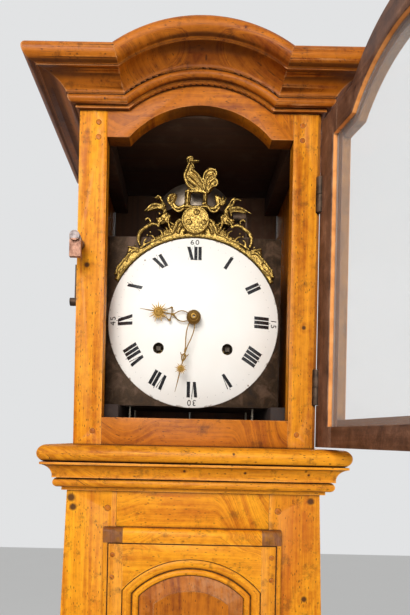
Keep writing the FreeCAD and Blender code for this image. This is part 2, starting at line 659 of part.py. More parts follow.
def trunk_door_hinges(label, part):
    """Two barrel hinges on the door's right edge. Gives the cuts that their leaves need."""
    fixed, moving, leaves = [], [], []
    for place in (f"(door_foot + door_hinge_low)", f"(door_top - door_hinge_high)"):
        centre = (HINGE_X, HINGE_Y)
        low = (f"{place} - knuckle_height", f"{place} - knuckle_gap / 2")
        high = (f"{place} + knuckle_gap / 2", f"{place} + knuckle_height")
        plate_x = (f"{HINGE_X} - leaf_thickness / 2", f"{HINGE_X} + leaf_thickness / 2")
        if part == "+":
            pin = rod("case_hinge_pin", "z", centre, (low[0], high[1]), "pin_radius")
            leaf = board("case_hinge_leaf", plate_x, (HINGE_Y, f"{FRONT} + leaf_length"), low)
            barrel = rod("case_knuckle", "z", centre, low, "knuckle_radius")
            fixed.append(fused("case_hinge", [barrel, pin, leaf]))
            leaves.append(board("case_leaf_slot", plate_x, (FRONT, f"{FRONT} + leaf_length"),
                                low))
        else:
            leaf = board("door_hinge_leaf", (f"{DOOR_OUT} - leaf_length", HINGE_X),
                         (f"{HINGE_Y} - leaf_thickness / 2", f"{HINGE_Y} + leaf_thickness / 2"),
                         high)
            barrel = rod("door_knuckle", "z", centre, high, "knuckle_radius")
            moving.append(cut("door_hinge", fused("door_hinge_solid", [barrel, leaf]),
                              [pin_bore("door_leaf_bore", centre, high)]))
            leaves.append(board("door_leaf_slot", (f"{DOOR_OUT} - leaf_length", DOOR_OUT),
                                (f"{HINGE_Y} - leaf_thickness / 2",
                                 f"{HINGE_Y} + leaf_thickness / 2"), high))
    node(label, group(label, fixed or moving))
    return leaves


HOOD_INNER = "(hood_half - hood_side_thickness - slide_gap)"
HOOD_FACE = (FRONT, f"({FRONT} + hood_frame)")
HOOD_AXIS = ("(hood_half - hinge_inset)", f"({FRONT} - hood_door_gap / 2)")


def hood_frame():
    """The arched front frame of the hood, its sides and its ceiling."""
    middle = f"({FRONT} + hood_frame / 2)"
    tenon_y = (f"{middle} - hood_tenon_thickness / 2", f"{middle} + hood_tenon_thickness / 2")
    reach = "(hood_opening_half + hood_tenon)"
    foot, top = above("0"), above("hood_top")
    lower = board("hood_bottom_tenon", (f"-{reach}", reach), tenon_y,
                  (above("hood_tenon_shoulder"), above("hood_rail_top - hood_tenon_shoulder")))
    upper = board("hood_top_tenon", (f"-{reach}", reach), tenon_y,
                  (above("hood_shoulder + hood_tenon_shoulder"),
                   above("hood_top - hood_tenon_shoulder")))
    peg_x = "(hood_opening_half + hood_peg_inset)"
    lower_z = above("hood_rail_top / 2")
    upper_z = above("hood_peg_line")
    centres = [(f"{side}{peg_x}", z) for side in "-+" for z in (
        lower_z, f"{upper_z} - hood_peg_step", f"{upper_z} + hood_peg_step")]
    pegs = peg_pair(centres, (f"{FRONT} - hood_door_gap / 2", f"{FRONT} + hood_frame - peg_stand"),
                    "hood_peg_radius", "hood_peg")
    node("hood_pegs", group("hood_pegs", pegs))
    wide = ("-hood_opening_half", "hood_opening_half")
    rail = board("hood_bottom_rail_blank", wide, HOOD_FACE, (foot, above("hood_rail_top")))
    node("hood_bottom_rail", cut("hood_bottom_rail",
                                 fused("hood_bottom_joined", [rail, lower]), pegs))
    shoulder = above("hood_shoulder")
    crown = above("hood_shoulder + hood_arch_rise")
    crest = above("hood_top + cornice_rise - cornice_arch_drop")
    head = [("hood_opening_half", shoulder), ("hood_opening_half", top),
            ("cornice_break_half", top, "0", crest), ("-cornice_break_half", top),
            ("-hood_opening_half", top), ("-hood_opening_half", shoulder),
            ("-hood_arch_half", shoulder, "0", crown), ("hood_arch_half", shoulder)]
    arch_room = outline("hood_arch_room", "XZ_Plane", arched(
        "hood_arch_half", above("0"), shoulder, "hood_arch_half", "hood_arch_rise"),
        (f"{FRONT} - cut_overrun", f"{FRONT} + hood_frame + cut_overrun"))
    head_blank = fused("hood_head_joined", [
        outline("hood_top_rail_blank", "XZ_Plane", head, HOOD_FACE),
        cut("hood_top_tenon_cut", upper, [arch_room])])
    node("hood_top_rail", cut("hood_top_rail", head_blank, pegs))
    latch_hole = rod("catch_hole", "y", CATCH, (f"{FRONT} - cut_overrun",
                     f"{FRONT} + catch_pin_length + running_gap"),
                     "catch_pin_radius + running_gap")
    stile = [("hood_opening_half", FRONT), ("hood_half - hood_chamfer", FRONT),
             ("hood_half", f"{FRONT} + hood_chamfer"), ("hood_half", f"{FRONT} + hood_frame"),
             ("hood_opening_half", f"{FRONT} + hood_frame")]
    right = outline("hood_right_stile_blank", "XY_Plane", stile, (foot, top))
    cutters = [lower, upper] + pegs
    node("hood_right_stile", cut("hood_right_stile", right,
                                 cutters + hood_hinges("hood_ironwork", True)))
    left = board("hood_left_stile_blank", ("-hood_half", "-hood_opening_half"), HOOD_FACE,
                 (foot, top))
    node("hood_left_stile", cut("hood_left_stile", left, cutters + [latch_hole]))
    depth = (f"{FRONT} + hood_frame", BACK)
    for label, x in (("hood_right_side", ("hood_half - hood_side_thickness", "hood_half")),
                     ("hood_left_side", ("-hood_half", "-hood_half + hood_side_thickness"))):
        node(label, board(label, x, depth, (foot, top)))
    inner = "(hood_half - hood_side_thickness)"
    roof = board("hood_roof_board", (f"-{inner}", inner), depth,
                 (above("hood_ceiling"), above("hood_ceiling + hood_roof_thickness")))
    batten_z = (above("hood_ceiling - batten_height"), above("hood_ceiling"))
    batten_y = (f"{FRONT} + hood_frame", f"{INNER_BACK} - slide_gap")
    battens = [board("hood_batten", (f"{inner} - batten_width", inner), batten_y, batten_z),
               board("hood_batten", (f"-{inner}", f"-{inner} + batten_width"), batten_y,
                     batten_z)]
    node("hood_roof", group("hood_roof", [roof] + battens))


def cornice_profile():
    """The cornice's section as (projection, height above its foot) with its arcs."""
    bead_top = "(cornice_fillet_height + cornice_bead)"
    cove_foot = f"({bead_top} + cornice_quirk)"
    cove_head = f"({cove_foot} + cornice_cove_rise * cove_height_share)"
    nosing_foot = "(cornice_height - cornice_nosing)"
    sag_out = "cornice_cove_foot + (cornice_cove_head - cornice_cove_foot) * cove_out_share"
    sag_up = f"{cove_foot} + ({cove_head} - {cove_foot}) * cove_up_share"
    return [("0", "0"), ("cornice_fillet", "0"), ("cornice_fillet", "cornice_fillet_height",
             "cornice_bead_step + cornice_bead / 2", f"(cornice_fillet_height + {bead_top}) / 2"),
            ("cornice_fillet", bead_top), ("cornice_cove_foot", bead_top),
            ("cornice_cove_foot", cove_foot, sag_out, sag_up),
            ("cornice_cove_head", cove_head), ("cornice_cove_head", nosing_foot),
            ("cornice_projection - cornice_nosing / 2", nosing_foot, "cornice_projection",
             "cornice_height - cornice_nosing / 2"),
            ("cornice_projection - cornice_nosing / 2", "cornice_height"),
            ("0", "cornice_height")]


def cornice():
    """Five lengths of cornice: an arch, two level runs mitred to it, and two sides."""
    foot = above("cornice_foot")
    top = above("cornice_foot + cornice_height")
    out = "(hood_half + cornice_projection)"
    front_y = f"{FRONT} - cornice_projection"
    tall = (foot, f"{top} + cornice_rise + cut_overrun")
    radius = "((pow(cornice_break_half; 2) + pow(cornice_rise; 2)) / (2 * cornice_rise))"
    centre_z = f"({foot} + cornice_rise - {radius})"
    ring = turned("cornice_ring", [tuple(
        f"{radius} + ({point[index + 1]})" if place == 0 else point[index]
        for index in range(0, len(point), 2) for place in (0, 1))
        for point in cornice_profile()], "front", ("0", FRONT, centre_z))

    def mitre(height):
        """Where the arch meets the level run, at a height above the foot."""
        return f"sqrt(pow(cornice_break_half; 2) + 2 * cornice_rise * ({height}))"

    low, half, high = mitre("0"), mitre("cornice_height / 2"), mitre("cornice_height")
    middle = outline("cornice_arch_room", "XZ_Plane", [
        (low, foot, half, f"{foot} + cornice_height / 2"), (high, top), (high, tall[1]),
        (f"-{high}", tall[1]), (f"-{high}", top, f"-{half}", f"{foot} + cornice_height / 2"),
        (f"-{low}", foot)], (f"{front_y} - cut_overrun", FRONT))
    arch = common("cornice_arch", ring, middle)
    section = placed(cornice_profile(), lambda text: f"{FRONT} - ({text})", foot)
    level = outline("cornice_level", "YZ_Plane", section, ("cornice_break_half", out))
    plan = [("0", FRONT), ("hood_half", FRONT), (out, front_y), ("0", front_y)]
    right_front = common("cornice_right_front", cut("cornice_right_run", level, [middle]),
                         outline("cornice_plan", "XY_Plane", plan, tall))
    side = placed(cornice_profile(), lambda text: f"hood_half + ({text})", foot)
    run = outline("cornice_side_run", "XZ_Plane", side, (front_y, BACK))
    side_plan = [("hood_half", FRONT), (out, front_y), (out, BACK), ("hood_half", BACK)]
    right = common("cornice_right", run, outline("cornice_side_plan", "XY_Plane", side_plan,
                                                 (foot, top)))
    node("cornice", group("cornice", [
        arch, right_front, mirrored("cornice_left_front", right_front), right,
        mirrored("cornice_left", right)]))


CATCH = ("(-hood_half + catch_inset)", above("catch_pivot"))


def hood_hinges(label, fixed):
    """The hood door's barrel hinges. Gives the cuts that barrels and leaves need in a stile."""
    irons, cuts = [], []
    axis_x, axis_y = HOOD_AXIS
    for place in ("hinge_lower", "hinge_upper"):
        low = (above(f"{place} - knuckle_height"), above(f"{place} - knuckle_gap / 2"))
        high = (above(f"{place} + knuckle_gap / 2"), above(f"{place} + knuckle_height"))
        span = low if fixed else high
        ends = (f"{axis_y}", f"{FRONT} + leaf_length") if fixed else (
            f"{FRONT} - leaf_length", f"{axis_y}")
        plate_x = (f"{axis_x} - leaf_setback - leaf_thickness", f"{axis_x} - leaf_setback")
        leaf = board("hood_leaf", plate_x, ends, span)
        barrel = rod("hood_knuckle", "z", (axis_x, axis_y), span, "knuckle_radius")
        if fixed:
            pin = rod("hood_pin", "z", (axis_x, axis_y), (low[0], high[1]), "pin_radius")
            irons.append(fused("hood_hinge", [leaf, barrel, pin]))
        else:
            irons.append(cut("hood_door_hinge", fused("hood_hinge_joined", [leaf, barrel]),
                             [pin_bore("hood_hinge_bore", (axis_x, axis_y), high)]))
        cuts.append(rod("knuckle_room", "z", (axis_x, axis_y),
                        (f"{low[0]} - knuckle_room", f"{high[1]} + knuckle_room"),
                        "knuckle_radius + knuckle_room"))
        cuts.append(board("leaf_slot", plate_x, ends, span))
    if fixed:
        side = "-hood_half"
        strap_y = (f"{FRONT} + strap_setback", f"{FRONT} + strap_setback + strap_width")
        strap = board("catch_strap", (f"{side} - strap_thickness", side), strap_y,
                      (above("strap_foot"), above("strap_head")))
        knob = rod("catch_strap_knob", "x", (f"{FRONT} + strap_setback + strap_width / 2",
                   above("strap_foot")), (f"{side} - strap_thickness - strap_knob_height", side),
                   "strap_knob_radius")
        irons.append(fused("catch_spring", [strap, knob]))
        node(label, group(label, irons))
    return cuts if fixed else (irons, cuts)


def catch():
    """The turning catch on the left stile: a block on a boss, hung from a round-headed pin."""
    x, z = CATCH
    back = f"({FRONT} - slide_gap)"
    face = f"({back} - hood_door_gap - hood_door_thickness)"
    block = board("catch_block", (f"{x} - catch_width / 2", f"{x} + catch_width / 2"),
                  (f"{face} - catch_thickness", face),
                  (f"{z} - catch_drop - catch_height", f"{z}"))
    head = rod("catch_stud", "y", (x, z), (f"{face} - catch_thickness - catch_stud_height", face),
               "catch_stud_radius")
    boss = rod("catch_boss", "y", (x, z), (face, back), "catch_boss_radius")
    pin = rod("catch_pin", "y", (x, z), (face, f"{FRONT} + catch_pin_length"),
              "catch_pin_radius")
    node("hood_catch", fused("hood_catch", [block, head, boss, pin]))


def hood_door():
    """The glazed, arched door, built shut and then turned open on its hinges."""
    back = f"({FRONT} - hood_door_gap)"
    front = f"({back} - hood_door_thickness)"
    face = (front, back)
    foot, top = above("hood_door_foot"), above("hood_door_top")
    out = "(hood_half - hinge_inset)"
    sight_half = f"({out} - hood_door_stile)"
    sight_foot = above("hood_door_foot + hood_door_rail")
    shoulder = above("hood_door_shoulder")
    sight = arched(sight_half, sight_foot, shoulder, "hood_door_arch_half",
                   "hood_door_arch_rise")
    opening = outline("hood_door_sight", "XZ_Plane", sight,
                      (f"{front} - cut_overrun", f"{back} + cut_overrun"))
    wide = "rebate_width"
    rebated = arched(f"{sight_half} + {wide}", f"{sight_foot} - {wide}", f"{shoulder} + {wide}",
                     "hood_door_arch_half", "hood_door_arch_rise")
    rebate = outline("hood_door_rebate", "XZ_Plane", rebated,
                     (f"{back} - rebate_depth", f"{back} + cut_overrun"))
    pane_y = (f"{back} - rebate_depth", f"{back} - rebate_depth + glass_thickness")
    less = f"({wide} - glass_gap)"
    pane = outline("hood_door_glass", "XZ_Plane", arched(
        f"{sight_half} + {less}", f"{sight_foot} - {less}", f"{shoulder} + {less}",
        "hood_door_arch_half", "hood_door_arch_rise"), pane_y)
    tenon_y = (f"{front} + hood_door_cheek", f"{front} + hood_door_cheek + "
               "hood_door_tenon_thickness")
    reach = f"({sight_half} + hood_door_tenon)"
    edge = "hood_door_tenon_shoulder"
    lower = board("hood_door_bottom_tenon", (f"-{reach}", reach), tenon_y,
                  (f"{foot} + {edge}", f"{sight_foot} - {edge}"))
    upper = board("hood_door_top_tenon", (f"-{reach}", reach), tenon_y,
                  (f"{shoulder} + {edge}", f"{top} - {edge}"))
    across = (f"-{sight_half}", sight_half)
    crest = f"({top} + hood_door_arch_rise)"
    head = [(sight_half, sight_foot), (sight_half, top),
            ("hood_door_arch_half", top, "0", crest),
            ("-hood_door_arch_half", top), (f"-{sight_half}", top),
            (f"-{sight_half}", sight_foot)]
    head_blank = outline("hood_door_head", "XZ_Plane", head, face)
    sill = board("hood_door_sill", across, face, (foot, sight_foot))
    pieces = {
        "hood_door_top_rail": cut("hood_door_top_rail", fused("hood_door_top_joined", [
            head_blank, upper]), [opening, rebate]),
        "hood_door_bottom_rail": cut("hood_door_bottom_rail", fused("hood_door_sill_joined", [
            sill, lower]), [rebate]),
        "hood_door_glass": pane,
    }
    hinges, cuts = hood_hinges("", False)
    stile_z = (foot, top)
    right = board("hood_door_hinge_stile_blank", (sight_half, out), face, stile_z)
    left = board("hood_door_free_stile_blank", ("-hood_half + catch_room", f"-{sight_half}"),
                 face, stile_z)
    pieces["hood_door_hinge_stile"] = cut("hood_door_hinge_stile", right,
                                          [lower, upper, rebate] + cuts)
    pieces["hood_door_free_stile"] = cut("hood_door_free_stile", left, [lower, upper, rebate])
    pieces["hood_door_hinges"] = group("hood_door_hinges", hinges)
    for label, item in pieces.items():
        node(label, swung(item))


def swung(item):
    """Turn a shut piece open about the hood door's hinge pins."""
    axis_x, axis_y = HOOD_AXIS
    turn = "open_angle * 1 deg"
    item.Placement = Placement(Vector(), Rotation(Vector(0, 0, 1), size("open_angle")))
    bind(item, "Placement.Base.x", f"{axis_x} - {axis_x} * cos({turn}) + {axis_y} * sin({turn})")
    bind(item, "Placement.Base.y", f"{axis_y} - {axis_x} * sin({turn}) - {axis_y} * cos({turn})")
    return item


MIDDLE = "movement_offset"
DIAL_Z = above("dial_height")
RIM_Y = f"({FRONT} + dial_setback)"
PLATE_Y = f"({RIM_Y} + dial_rim)"
CAGE_FRONT = f"({PLATE_Y} + front_plate_thickness)"
CAGE_BACK = f"({CAGE_FRONT} + cage_depth)"
CAGE_FOOT = above("cage_foot")
CAGE_TOP = above("cage_foot + cage_height")
DRUM_Z = f"({DIAL_Z} - drum_drop)"
ROPE_X = "(drum_spacing + drum_radius + rope_radius + rope_gap)"
ROPE_Y = f"({CAGE_FRONT} + rope_setback)"
PULLEY_Y = f"({ROPE_Y} + pulley_radius)"
SWING_Y = f"({CAGE_BACK} + pendulum_setback)"
PIVOT_Z = f"({DIAL_Z} + anchor_height)"
ESCAPE_Z = f"({DIAL_Z} + escape_height)"


def middle_bars():
    """The three stations across the cage that carry a pair of upright bars."""
    return [f"({MIDDLE} - drum_spacing)", MIDDLE, f"({MIDDLE} + drum_spacing)"]


def movement_cage():
    """Two iron plates riveted to four posts, with upright bars that the arbors turn in."""
    inside_foot = f"({CAGE_FOOT} + plate_thickness)"
    inside_top = f"({CAGE_TOP} - plate_thickness)"
    left, right = f"({MIDDLE} - cage_half)", f"({MIDDLE} + cage_half)"
    slots = []
    for side in "-+":
        centre = f"({MIDDLE} {side} {ROPE_X})"
        slots.append(board("rope_slot", (f"{centre} - rope_slot_width / 2",
                     f"{centre} + rope_slot_width / 2"), (f"{ROPE_Y} - rope_slot_width / 2",
                     f"{ROPE_Y} + rope_slot_width / 2"), (f"{CAGE_FOOT} - cut_overrun",
                     f"{inside_foot} + cut_overrun")))
    foot = cut("cage_foot_plate", board("cage_foot_blank", (left, right),
               (CAGE_FRONT, CAGE_BACK), (CAGE_FOOT, inside_foot)), slots)
    top = board("cage_top_plate", (left, right), (CAGE_FRONT, CAGE_BACK), (inside_top, CAGE_TOP))
    solids = [foot, top]
    for x_low in (f"{left} + post_inset", f"{right} - post_inset - post_width"):
        for y_low in (f"{CAGE_FRONT} + post_inset", f"{CAGE_BACK} - post_inset - post_width"):
            solids.append(board("cage_post", (x_low, f"{x_low} + post_width"),
                                (y_low, f"{y_low} + post_width"), (inside_foot, inside_top)))
    for index, x in enumerate(middle_bars()):
        for low, plane in ((f"{CAGE_FRONT} + bar_inset", "front"),
                           (f"{CAGE_BACK} - bar_inset - bar_thickness", "back")):
            span = (f"{low} - cut_overrun", f"{low} + bar_thickness + cut_overrun")
            blank = board("train_bar_blank", (f"{x} - bar_width / 2", f"{x} + bar_width / 2"),
                          (low, f"{low} + bar_thickness"), (inside_foot, inside_top))
            if index == 1:
                pivots = [(DIAL_Z, "arbor_radius"), (ESCAPE_Z, "escape_arbor"),
                          (PIVOT_Z, "escape_arbor")]
            else:
                pivots = [(DRUM_Z, "arbor_radius")]
            tools = [rod("pivot_hole", "y", (x, z), span, f"{radius} + running_gap")
                     for z, radius in pivots]
            solids.append(cut("train_bar_" + plane, blank, tools))
    post = rod("bell_post", "z", (MIDDLE, BELL_Y), (CAGE_TOP, f"{BELL_TOP} + bell_nut_height"),
               "bell_post_radius")
    nut = rod("bell_nut", "z", (MIDDLE, BELL_Y), (BELL_TOP, f"{BELL_TOP} + bell_nut_height"),
              "bell_nut_radius")
    seat = rod("bell_seat", "z", (MIDDLE, BELL_Y), (CAGE_TOP, f"{BELL_TOP} - bell_wall"),
               "bell_post_radius + bell_wall")
    solids.append(fused("bell_stand", [post, nut, seat]))
    hang_foot = f"({PIVOT_Z} - suspension_height / 2)"
    arm_x = (f"{MIDDLE} - suspension_width / 2", f"{MIDDLE} + suspension_width / 2")
    arm = board("suspension_arm", arm_x, (f"{CAGE_BACK} - bar_inset", f"{SWING_Y} + "
                "suspension_width"), (CAGE_TOP, f"{CAGE_TOP} + plate_thickness"))
    drop = board("suspension_drop", arm_x, (f"{SWING_Y} + suspension_width - plate_thickness",
                 f"{SWING_Y} + suspension_width"), (hang_foot, f"{CAGE_TOP} + plate_thickness"))
    pin = rod("suspension_pin", "y", (MIDDLE, PIVOT_Z), (f"{SWING_Y} - eye_radius",
              f"{SWING_Y} + suspension_width"), "pin_radius")
    solids.append(fused("suspension_cock", [arm, drop, pin]))
    solids.append(hammer_bracket())
    node("movement_cage", group("movement_cage", solids))


BELL_Y = f"({CAGE_FRONT} + cage_depth / 2)"
BELL_TOP = above("bell_mouth + bell_height")
HAMMER_X = f"({MIDDLE} + hammer_offset)"
HAMMER_Z = above("hammer_pivot")


def hammer_bracket():
    """Two lugs on the top plate that carry the hammer's arbor."""
    low, high = f"({BELL_Y} - hammer_span / 2)", f"({BELL_Y} + hammer_span / 2)"
    x = (f"{HAMMER_X} - hammer_lug / 2", f"{HAMMER_X} + hammer_lug / 2")
    lugs = [board("hammer_lug", x, (low, f"{low} + plate_thickness"),
                  (CAGE_TOP, f"{HAMMER_Z} + hammer_lug / 2")),
            board("hammer_lug", x, (f"{high} - plate_thickness", high),
                  (CAGE_TOP, f"{HAMMER_Z} + hammer_lug / 2"))]
    base = board("hammer_base", x, (low, high), (CAGE_TOP, f"{CAGE_TOP} + plate_thickness"))
    hole = rod("hammer_hole", "y", (HAMMER_X, HAMMER_Z), (f"{low} - cut_overrun",
               f"{high} + cut_overrun"), "hammer_arbor + running_gap")
    return cut("hammer_bracket", fused("hammer_bracket_solid", lugs + [base]), [hole])


def bell_and_hammer():
    """The turned bell, open downwards, and the sprung hammer beside its rim."""
    wall = "bell_wall"
    top, mouth = "bell_height", "0"
    section = [("bell_post_radius + running_gap", f"{top} - {wall}"),
               ("bell_crown_radius - " + wall, f"{top} - {wall}",
                "bell_radius * bell_swell_share - " + wall, f"{top} * bell_shoulder_share"),
               ("bell_radius - " + wall, mouth), ("bell_radius", mouth,
                "bell_radius * bell_swell_share", f"{top} * bell_shoulder_share + {wall}"),
               ("bell_crown_radius", top), ("bell_post_radius + running_gap", top)]
    node("bell", turned("bell", section, "z", (MIDDLE, BELL_Y, above("bell_mouth"))))
    low, high = f"({BELL_Y} - hammer_span / 2)", f"({BELL_Y} + hammer_span / 2)"
    arbor = rod("hammer_arbor", "y", (HAMMER_X, HAMMER_Z), (f"{low} - hammer_arbor",
                f"{high} + hammer_arbor"), "hammer_arbor")
    head_x = f"({MIDDLE} + bell_radius + hammer_gap)"
    arm = rod("hammer_arm", "z", (HAMMER_X, BELL_Y), (HAMMER_Z, f"{HAMMER_Z} + hammer_rise"),
              "hammer_arm_radius")
    head = rod("hammer_head", "x", (BELL_Y, f"{HAMMER_Z} + hammer_rise"),
               (head_x, f"{head_x} + hammer_head_length + hammer_arm_radius"),
               "hammer_head_radius")
    node("bell_hammer", fused("bell_hammer", [arbor, arm, head]))


def dial():
    """The domed dial with its three holes, and the iron plate that it is pinned to."""
    edge = "(dial_radius)"
    half_chord = f"{edge} * sag_place_share"
    sag = "dial_rim + dial_bulge * sag_height_share"
    section = [(f"{edge} - dial_wall", "0"), (edge, "0"), (edge, "dial_rim", half_chord, sag),
               ("0", "dial_rim + dial_bulge"),
               ("0", "dial_rim + dial_bulge - dial_wall", half_chord, f"{sag} - dial_wall")]
    dome = turned("dial_dome", section, "front", (MIDDLE, PLATE_Y, DIAL_Z))
    span = (f"{RIM_Y} - dial_bulge - cut_overrun", f"{CAGE_FRONT} + cut_overrun")
    holes = [rod("hand_hole", "y", (MIDDLE, DIAL_Z), span, "dial_hole_radius")]
    for side in "-+":
        holes.append(rod("winding_hole", "y", (f"{MIDDLE} {side} drum_spacing", DRUM_Z), span,
                         "winding_hole_radius"))
    node("dial", cut("dial", dome, holes))
    plate = board("front_plate_blank", (f"{MIDDLE} - cage_half", f"{MIDDLE} + cage_half"),
                  (PLATE_Y, CAGE_FRONT), (CAGE_FOOT, CAGE_TOP))
    node("front_plate", cut("front_plate", plate, holes))


def shape(name, solid, centre=("0", "0", "0"), turn=Rotation()):
    """A piece whose outline comes from a formula, set at its place."""
    item = doc.addObject("Part::Feature", fresh(name))
    item.Shape = solid
    item.Placement = Placement(Vector(*(size(text) for text in centre)), turn)
    return item


def prism(points, thickness):
    """A flat solid on the local XZ plane, from straight edges, towards +Y."""
    corners = [Vector(x, 0, z) for x, z in points]
    face = Part.Face(Part.makePolygon(corners + corners[:1]))
    return face.extrude(Vector(0, thickness, 0))


def disc(radius, thickness, x=0, z=0):
    """A round flat solid on the local XZ plane, towards +Y."""
    return Part.makeCylinder(radius, thickness, Vector(x, 0, z), Vector(0, 1, 0))


def star(centre, inner, outer, rays, thickness):
    """A sun's disc with pointed rays."""
    points = []
    for index in range(2 * rays):
        reach = outer if index % 2 else inner
        angle = math.pi * index / rays
        points.append((reach * math.sin(angle), centre + reach * math.cos(angle)))
    return prism(points, thickness)


def hand(name, length, sun, collet, bore, plane, angle):
    """A pierced hand with a loop, a small ring and a rayed sun, pointing at its own angle."""
    thick = size("hand_thickness")
    loop, bar = size("loop_radius"), size("loop_bar")
    stem, tip = size("stem_half"), size("tip_half")
    inner, ray = size("sun_radius"), size("sun_ray")
    ring = size("ornament_radius")
    loop_at = size(collet) + loop - bar
    ring_at = loop_at + loop + ring - bar
    solid = disc(size(collet), thick)
    for centre, radius in ((loop_at, loop), (ring_at, ring)):
        solid = solid.fuse(disc(radius, thick, 0, centre).cut(
            disc(radius - bar, thick, 0, centre)))
    solid = solid.fuse(prism([(-stem, ring_at + ring - bar), (stem, ring_at + ring - bar),
                              (stem, size(sun)), (-stem, size(sun))], thick))
    solid = solid.fuse(star(size(sun), inner, inner + ray, SUN_RAYS, thick))
    solid = solid.fuse(prism([(-tip - stem / 2, size(sun)), (tip + stem / 2, size(sun)),
                              (0, size(length))], thick))
    solid = solid.cut(disc(size(bore), thick)).removeSplitter()
    return shape(name, solid, (MIDDLE, plane, DIAL_Z), Rotation(Vector(0, 1, 0), size(angle)))


SUN_RAYS = 16
HOUR_Y = f"({RIM_Y} - dial_bulge - hour_plane)"
MINUTE_Y = f"({RIM_Y} - dial_bulge - minute_plane)"


def hands():
    """Hour hand on its pipe, minute hand on the centre arbor with its domed collet."""
    hour = hand("hour_hand_blade", "hour_length", "hour_sun", "collet_radius",
                "arbor_radius + running_gap", HOUR_Y, "hour_angle")
    pipe = rod("hour_pipe", "y", (MIDDLE, DIAL_Z), (HOUR_Y, f"{CAGE_FRONT} + bar_inset - "
               "running_gap"), "pipe_radius")
    bore = rod("hour_bore", "y", (MIDDLE, DIAL_Z), (f"{HOUR_Y} - cut_overrun",
               f"{CAGE_FRONT} + bar_inset"), "arbor_radius + running_gap")
    node("hour_hand", cut("hour_hand", fused("hour_hand_solid", [hour, pipe]), [bore]))
    minute = hand("minute_hand_blade", "minute_length", "minute_sun", "collet_radius",
                  "arbor_radius", MINUTE_Y, "minute_angle")
    collet = turned("minute_collet", [("arbor_radius", "0"), ("boss_radius", "0"),
                    ("boss_radius", "boss_length / 4", "boss_radius * boss_dome_share",
                     "boss_length * boss_dome_share"), ("arbor_radius", "boss_length")],
                    "front", (MIDDLE, MINUTE_Y, DIAL_Z))
    node("minute_hand", fused("minute_hand", [minute, collet]))


def wheel(name, centre, plane, radius, teeth, profile):
    """A toothed wheel crossed out to four arms; profile gives the shares of pitch and depth."""
    outer, depth = size(radius), size("tooth_depth")
    thick, rim = size("wheel_thickness"), size("rim_width")
    hub, arm = size("hub_radius"), size("spoke_width")
    points = []
    for index in range(teeth):
        for along, up in profile:
            angle = 2 * math.pi * (index + along) / teeth
            reach = outer - depth * (1 - up)
            points.append((reach * math.cos(angle), reach * math.sin(angle)))
    inside = outer - depth - rim
    window = disc(inside, thick).cut(disc(hub, thick))
    for turn in (0, 90):
        bar = Part.makeBox(2 * outer, thick, arm, Vector(-outer, 0, -arm / 2))
        bar.rotate(Vector(), Vector(0, 1, 0), turn)
        window = window.cut(bar)
    solid = prism(points, thick).cut(window).cut(disc(size("escape_arbor") / 2, thick))
    return shape(name, solid, (centre[0], plane, centre[1]))


WHEEL_TOOTH = ((0.0, 0.0), (0.22, 0.55), (0.32, 1.0), (0.48, 1.0), (0.58, 0.55), (0.8, 0.0))
ESCAPE_TOOTH = ((0.0, 0.0), (0.12, 0.0), (0.62, 1.0), (0.68, 1.0), (0.8, 0.0))
GREAT_TEETH = 64
CENTRE_TEETH = 48
ESCAPE_TEETH = 30


def trains():
    """Winding drums with their great wheels, the centre arbor, the escape wheel and anchor."""
    bar_front = f"({CAGE_FRONT} + bar_inset)"
    bar_back = f"({CAGE_BACK} - bar_inset)"
    drum_y = f"({CAGE_FRONT} + drum_front)"
    drum_end = f"({drum_y} + drum_length)"
    for side, label, wheel_y in (("-", "strike_drum", f"({drum_end} + running_gap)"),
                                 ("+", "going_drum", f"({drum_y} - wheel_thickness)")):
        x = f"({MIDDLE} {side} drum_spacing)"
        centre = (x, DRUM_Z)
        core = rod(label + "_core", "y", centre, (drum_y, drum_end), "drum_radius")
        turns = rod(label + "_turns", "y", centre, (f"{drum_y} + rope_layer_start",
                    f"{drum_end} - wheel_thickness"), "drum_radius + 2 * rope_radius")
        flange = rod(label + "_flange", "y", centre, (f"{drum_end} - wheel_thickness", drum_end),
                     "flange_radius")
        arbor = rod(label + "_arbor", "y", centre, (bar_front + " - bar_inset", bar_back),
                    "arbor_radius")
        square = board(label + "_square", (f"{x} - square_width / 2", f"{x} + square_width / 2"),
                       (f"{CAGE_FRONT} - square_length", f"{CAGE_FRONT} + bar_inset"),
                       (f"{DRUM_Z} - square_width / 2", f"{DRUM_Z} + square_width / 2"))
        hollow = rod(label + "_hollow", "y", centre, (f"{drum_y} + wheel_thickness",
                     f"{drum_end} + cut_overrun"), "drum_radius - wheel_thickness - running_gap")
        barrel = cut(label + "_barrel", fused(label + "_solid", [core, turns, flange]), [hollow])
        great = wheel(label + "_wheel", centre, f"{drum_y} - wheel_thickness" if side == "+"
                      else drum_end, "great_wheel_radius", GREAT_TEETH, WHEEL_TOOTH)
        node(label, fused(label, [barrel, arbor, square, great]))
    centre = (MIDDLE, DIAL_Z)
    arbor = rod("centre_arbor_shaft", "y", centre, (f"{MINUTE_Y} - boss_length / 4", bar_back),
                "arbor_radius")
    centre_wheel = wheel("centre_wheel", centre, f"{CAGE_BACK} - wheel_plane / 2",
                         "centre_wheel_radius", CENTRE_TEETH, WHEEL_TOOTH)
    node("centre_arbor", fused("centre_arbor", [arbor, centre_wheel]))
    escape = (MIDDLE, ESCAPE_Z)
    shaft = rod("escape_shaft", "y", escape, (bar_front, bar_back), "escape_arbor")
    crown = wheel("escape_teeth", escape, f"{CAGE_BACK} - escape_plane", "escape_radius",
                  ESCAPE_TEETH, ESCAPE_TOOTH)
    node("escape_wheel", fused("escape_wheel", [shaft, crown]))
    anchor()


